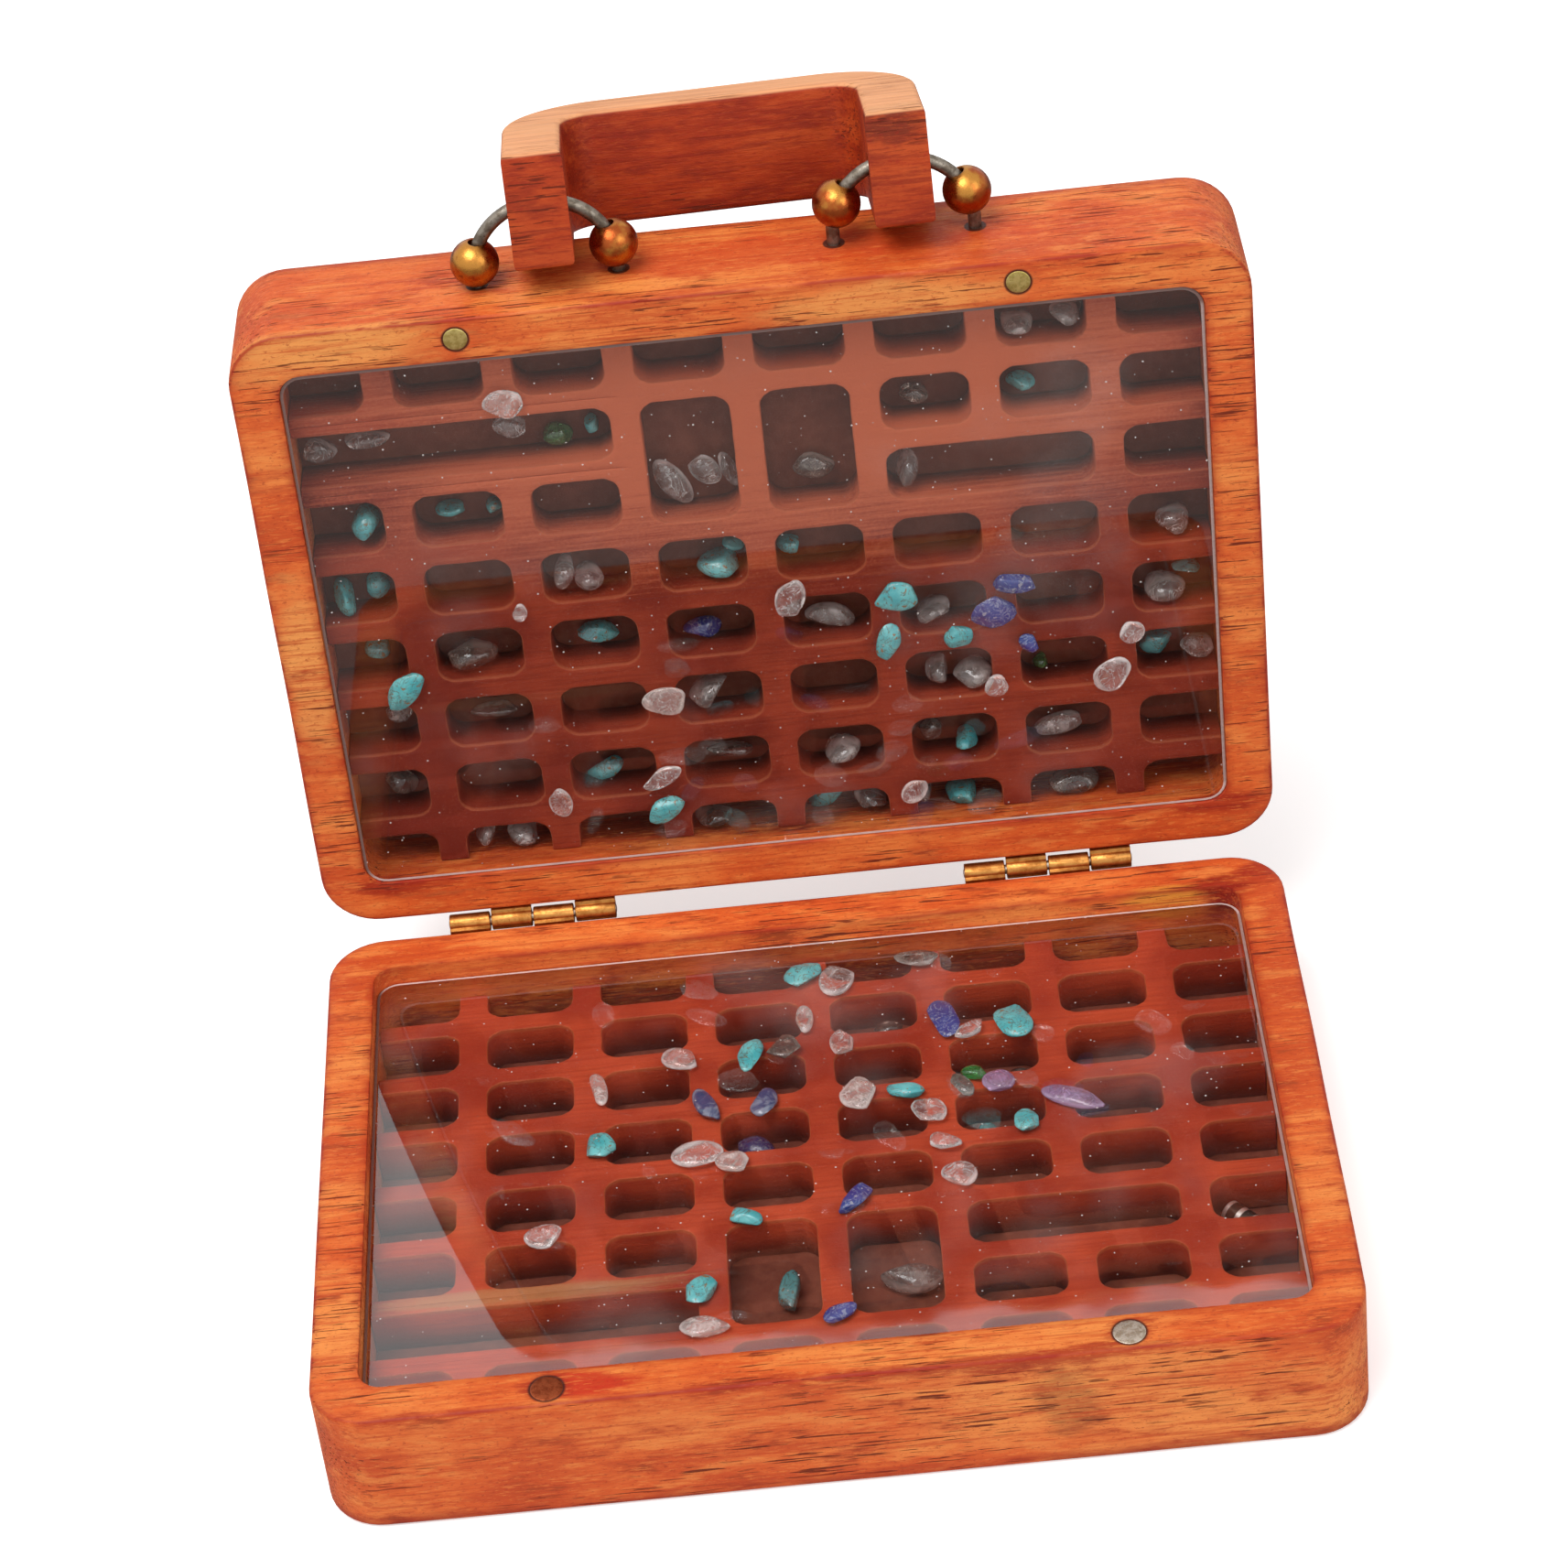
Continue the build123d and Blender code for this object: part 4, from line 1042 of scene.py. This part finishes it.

# Stains are (place, reach along X, Y and Z, tone, amount), and rings, painted shade round set-in parts, are
# (place, reach).
lower_wood = stained_wood("lower_wood", [
    (lower_at(left_catch + 5.0, catch_y + 0.3, 0), (12.0, 4.5, 4.0), bright_red, 0.9),
    (left_magnet, (6.0, 4.5, 4.5), blood, 0.8),
    (right_magnet, (6.0, 4.5, 4.5), blood, 0.8),
    (lower_at(half_opening - 10.5, back_y, 2.0), (13.0, 2.5, 6.0), glue_amber, 0.95),
    (lower_at(half_opening - 2.0, back_y, 1.8), (9.0, 6.0, 8.0), glue_red, 0.97),
    (lower_at(half_opening + 4.0, back_y + 2.5, 0), (8.0, 4.0, 5.0), blood, 0.8),
    (lower_at(20.0, outer_front_y, 0), (60.0, 3.2, 3.2), blood, 0.7),
    (lower_at(0.0, back_y, 12.0), (90.0, 4.0, 8.0), umber, 0.85),
    (lower_at(31.0, outer_front_y, 9.0), (8.0, 3.0, 11.0), smudge_brown, 0.42),
], [(left_magnet, 2.85), (right_magnet, 2.8)])

feet = to_wall([(arch * arch_spacing / 2 + side * arch_radius, 0, 0) for arch in (-1, 1) for side in (-1, 1)])
discs = [lid_at(left_catch, catch_y, 0), lid_at(right_catch, catch_y, 0)]
lid_wood = stained_wood("lid_wood", [
    (lid_at(8 - half_opening, front_y - 4.0, 0), (26, 3, 9), pale_amber, 0.85),
    (lid_at(22, front_y - 2.5, 0), (28, 2.5, 7), pale_amber, 0.75),
    (lid_at(-half_opening - 3, 5, 0), (6, 3, 30), pale_amber, 0.7),
    (to_wall([(5, 0, 0)])[0], (75, 9, 3), wall_red, 0.75),
    (lid_at(half_opening - 3, back_y + 0.4, 0.5), (13, 3, 3), blood, 0.9),
    (lid_at(3 - half_opening, back_y + 0.4, 0.5), (11, 3, 3), blood, 0.85),
    (lid_at(0, back_y, 9.0), (90, 8, 7), umber, 0.8),
], [(disc, 2.25) for disc in discs] + [(foot, 1.75) for foot in feet])

leg_smudge = to_wall(handle_rest([(handle_width / 2 - 5, -handle_thickness / 2, -leg_bore_inset)]))[0]
handle_wood = stained_wood(
    "handle_wood", [(leg_smudge, (11, 9, 9), umber, 0.85)], light=(0.37, 0.037, 0.006),
    pale=(0.47, 0.072, 0.014), deep=(0.20, 0.013, 0.004), sanded_tone=(0.92, 0.45, 0.21), gloss=0.5)
lower_board = board_wood(
    "lower_board", to_lower, lower_face, (0.60, 0.076, 0.024), (0.37, 0.032, 0.010), (0.60, 0.15, 0.05),
    (lower_at(-46.0, first_row_y + 1.5 * row_pitch, lower_face), (42.0, 3.4, 2.0)), (0.48, 0.205, 0.078))
lid_board = board_wood(
    "lid_board", to_lid, lid_face, (0.37, 0.050, 0.018), (0.21, 0.021, 0.009), (0.50, 0.14, 0.06),
    (lid_at(5.0, -30.0, lid_face), (120.0, 50.0, 44.0)), (0.62, 0.150, 0.064))
lower_backing = backing_paint("lower_backing", (0.135, 0.030, 0.015), (0.20, 0.055, 0.030))
lid_backing = backing_paint("lid_backing", (0.150, 0.032, 0.012), (0.20, 0.055, 0.026))
lower_sheet, lid_sheet = acrylic("lower_sheet", 2.2, 0.058, 0.0007, 0.085), acrylic("lid_sheet", 1.5)
sheet_edge = sawn_edge("sheet_edge")

hinge_brass = metal("hinge_brass", (0.44, 0.20, 0.052), (0.34, 0.13, 0.028), (0.15, 0.054, 0.012), 0.27)
screw_brass = metal("screw_brass", (0.58, 0.40, 0.14), (0.42, 0.25, 0.07), (0.16, 0.08, 0.02), 0.3)
pin_steel = metal("pin_steel", (0.50, 0.47, 0.42), (0.33, 0.28, 0.2), (0.15, 0.1, 0.06), 0.3)
dark_wire = metal("dark_wire", (0.23, 0.20, 0.165), (0.13, 0.105, 0.08), (0.05, 0.035, 0.025), 0.32)
bead_bronze = metal("bead_bronze", (0.43, 0.190, 0.038), (0.30, 0.066, 0.016), (0.14, 0.030, 0.009), 0.2,
                    0.22, (0.40, 0.56))
magnet_grey = metal("magnet_grey", (0.42, 0.36, 0.30), (0.28, 0.22, 0.16), (0.14, 0.08, 0.05), 0.42, 0.9)
magnet_stained = metal("magnet_stained", (0.26, 0.060, 0.022), (0.18, 0.035, 0.012), (0.08, 0.02, 0.01),
                       0.38, 0.9)
disc_brass = metal("disc_brass", (0.56, 0.46, 0.17), (0.42, 0.33, 0.10), (0.20, 0.13, 0.04), 0.38, 0.9)
bead_stripes = banded_metal("bead_stripes")

# Two milky chips of the lower tray are grey-blue: they lie at these columns and rows of pockets.
blue_chips = [lower_at(lower_shift + (column - (columns + 1) / 2) * column_pitch,
                       first_row_y + (row - 1) * row_pitch, lower_face)
              for column, row in ((3.5, 5.5), (4.0, 5.4))]
# The finish of each stone, how many flats its chips are cut with, and how lumpy they are.
stones = {
    "turquoise": (opaque_stone("turquoise", (0.075, 0.50, 0.54), (0.17, 0.66, 0.67), (0.11, 0.09, 0.04),
                               (0.30, 0.18, 0.07)), 7, 0.10),
    "lapis": (opaque_stone("lapis", (0.010, 0.033, 0.24), (0.022, 0.066, 0.32), (0.30, 0.36, 0.52),
                           (0.36, 0.38, 0.46)), 8, 0.06),
    "clear_quartz": (clear_stone("clear_quartz", (0.98, 0.96, 0.94), (0.98, 0.93, 0.91), 0.95, 0.3), 3, 0.12),
    "milky_quartz": (clear_stone("milky_quartz", (0.96, 0.91, 0.87), (0.96, 0.89, 0.85), 0.85, 0.6,
                                 blue_chips), 3, 0.12),
    "smoky_quartz": (clear_stone("smoky_quartz", (0.42, 0.36, 0.31), (0.34, 0.30, 0.27), 0.9, 0.4), 5, 0.12),
    "green_glass": (clear_stone("green_glass", (0.03, 0.42, 0.09), (0.02, 0.20, 0.05), 0.8, 0.3), 5, 0.08),
    "amethyst": (clear_stone("amethyst", (0.66, 0.46, 0.70), (0.42, 0.28, 0.46), 0.75, 0.5), 6, 0.08),
}

# ---- build
halves = (("lower", "base", to_lower, from_lower, lower_shift, lower_face, lower_window_recess,
           lower_wood, lower_board, lower_backing, lower_sheet),
          ("lid", "lid", to_lid, from_lid, lid_shift, lid_face, lid_window_recess,
           lid_wood, lid_board, lid_backing, lid_sheet))
for half, body, place, back, shift, face, recess, wood, board, backing, sheet in halves:
    tray(f"{half}_tray", place, face, body, wood)
    pocket_board(f"{half}_pocket_board", place, shift, face, body, board)
    window(f"{half}_window", place, recess, body, sheet)
    sheet_below = nodes[f"{half}_backing_sheet"].data.materials
    sheet_below.clear()
    sheet_below.append(backing)
    for stone, (finish, cuts, lumpiness) in stones.items():
        if f"{half}_{stone}" in nodes:
            chips(f"{half}_{stone}", place, back, body, finish, cuts, lumpiness)
tube_bead("lower_banded_bead")
button("catch_magnet_left", to_lower, left_catch, magnet_radius, "base", magnet_stained)
button("catch_magnet_right", to_lower, right_catch, magnet_radius, "base", magnet_grey)
button("catch_disc_left", to_lid, left_catch, disc_radius, "lid", disc_brass)
button("catch_disc_right", to_lid, right_catch, disc_radius, "lid", disc_brass)
wires_and_beads()
handle()
hinges()

# ---- floor, light, camera
camera_place = Vector((14.10, -508.07, 476.93)) * MM
camera_right = Vector((0.99484179, -0.04406858, -0.0913662))
camera_up = Vector((0.09921662, 0.61022105, 0.78599385))
camera_back = Vector((0.02111594, -0.79100457, 0.61144573))
camera_lens = 106.63
table_reach, table_glow = 4.0, 0.45
sky_light, sky_mirrored = 0.42, 1.25
# Name, place, what it points at, size in metres and watts of each lamp.
lamps = (("key", (-0.40, -0.35, 1.30), (0, 0, 0.05), (0.9, 0.7), 15.0),
         ("fill", (0.85, -0.75, 0.85), (0, 0, 0.05), (0.7, 0.7), 4.0))


def seen_straight(tree):
    """1 for rays from the camera and for those that have come through something clear."""
    return ray(tree, "Camera").math("MAXIMUM", ray(tree, "Transmission"))


def studio():
    """White table and surroundings, a wide soft lamp overhead to the left and a weaker one on the right.

    Seen directly both are plain white.  In shiny pieces and the clear sheets the table shows
    dim and warm, and the surroundings a little brighter than white.
    """
    material, tree = blank("table_top")
    grey = ray(tree, "Glossy").mix((0.92, 0.92, 0.92), (0.42, 0.36, 0.34))
    glow = put(tree, "Emission", Color=(1, 1, 1), Strength=seen_straight(tree) * table_glow)
    closed(material, put(tree, "AddShader", i0=put(tree, "BsdfDiffuse", Color=grey), i1=glow))
    mesh = bpy.data.meshes.new("table_top")
    corners = [(x * table_reach, y * table_reach, 0) for x, y in ((-1, -1), (1, -1), (1, 1), (-1, 1))]
    mesh.from_pydata(corners, [], [(0, 1, 2, 3)])
    mesh.materials.append(material)
    table = show("table_top", mesh)

    world, tree = blank("surroundings", bpy.data.worlds)
    bpy.context.scene.world = world
    mirrored = ray(tree, "Glossy") * sky_mirrored
    strength = seen_straight(tree).math("MAXIMUM", mirrored).math("MAXIMUM", sky_light)
    closed(world, put(tree, "Background", Color=(1, 1, 1), Strength=strength), "OutputWorld")

    for name, place, target, size, power in lamps:
        lamp = bpy.data.lights.new(name, "AREA")
        lamp.shape, lamp.size, lamp.size_y, lamp.energy = "RECTANGLE", *size, power
        holder = show(name, lamp)
        holder.location = place
        holder.rotation_euler = (Vector(target) - Vector(place)).to_track_quat("-Z", "Y").to_euler()


def photo_camera():
    """Camera where the photograph was taken from, with its tilt and lens."""
    lens = bpy.data.cameras.new("camera")
    lens.lens, lens.sensor_width, lens.sensor_fit = camera_lens, 36.0, "AUTO"
    lens.clip_start, lens.clip_end = 0.01, 20.0
    holder = show("camera", lens)
    turn = Matrix((camera_right, camera_up, camera_back)).transposed()
    holder.matrix_world = Matrix.Translation(camera_place) @ turn.to_4x4()
    bpy.context.scene.camera = holder


studio()
photo_camera()
bpy.context.scene.view_settings.view_transform = "Standard"
bpy.context.view_layer.update()
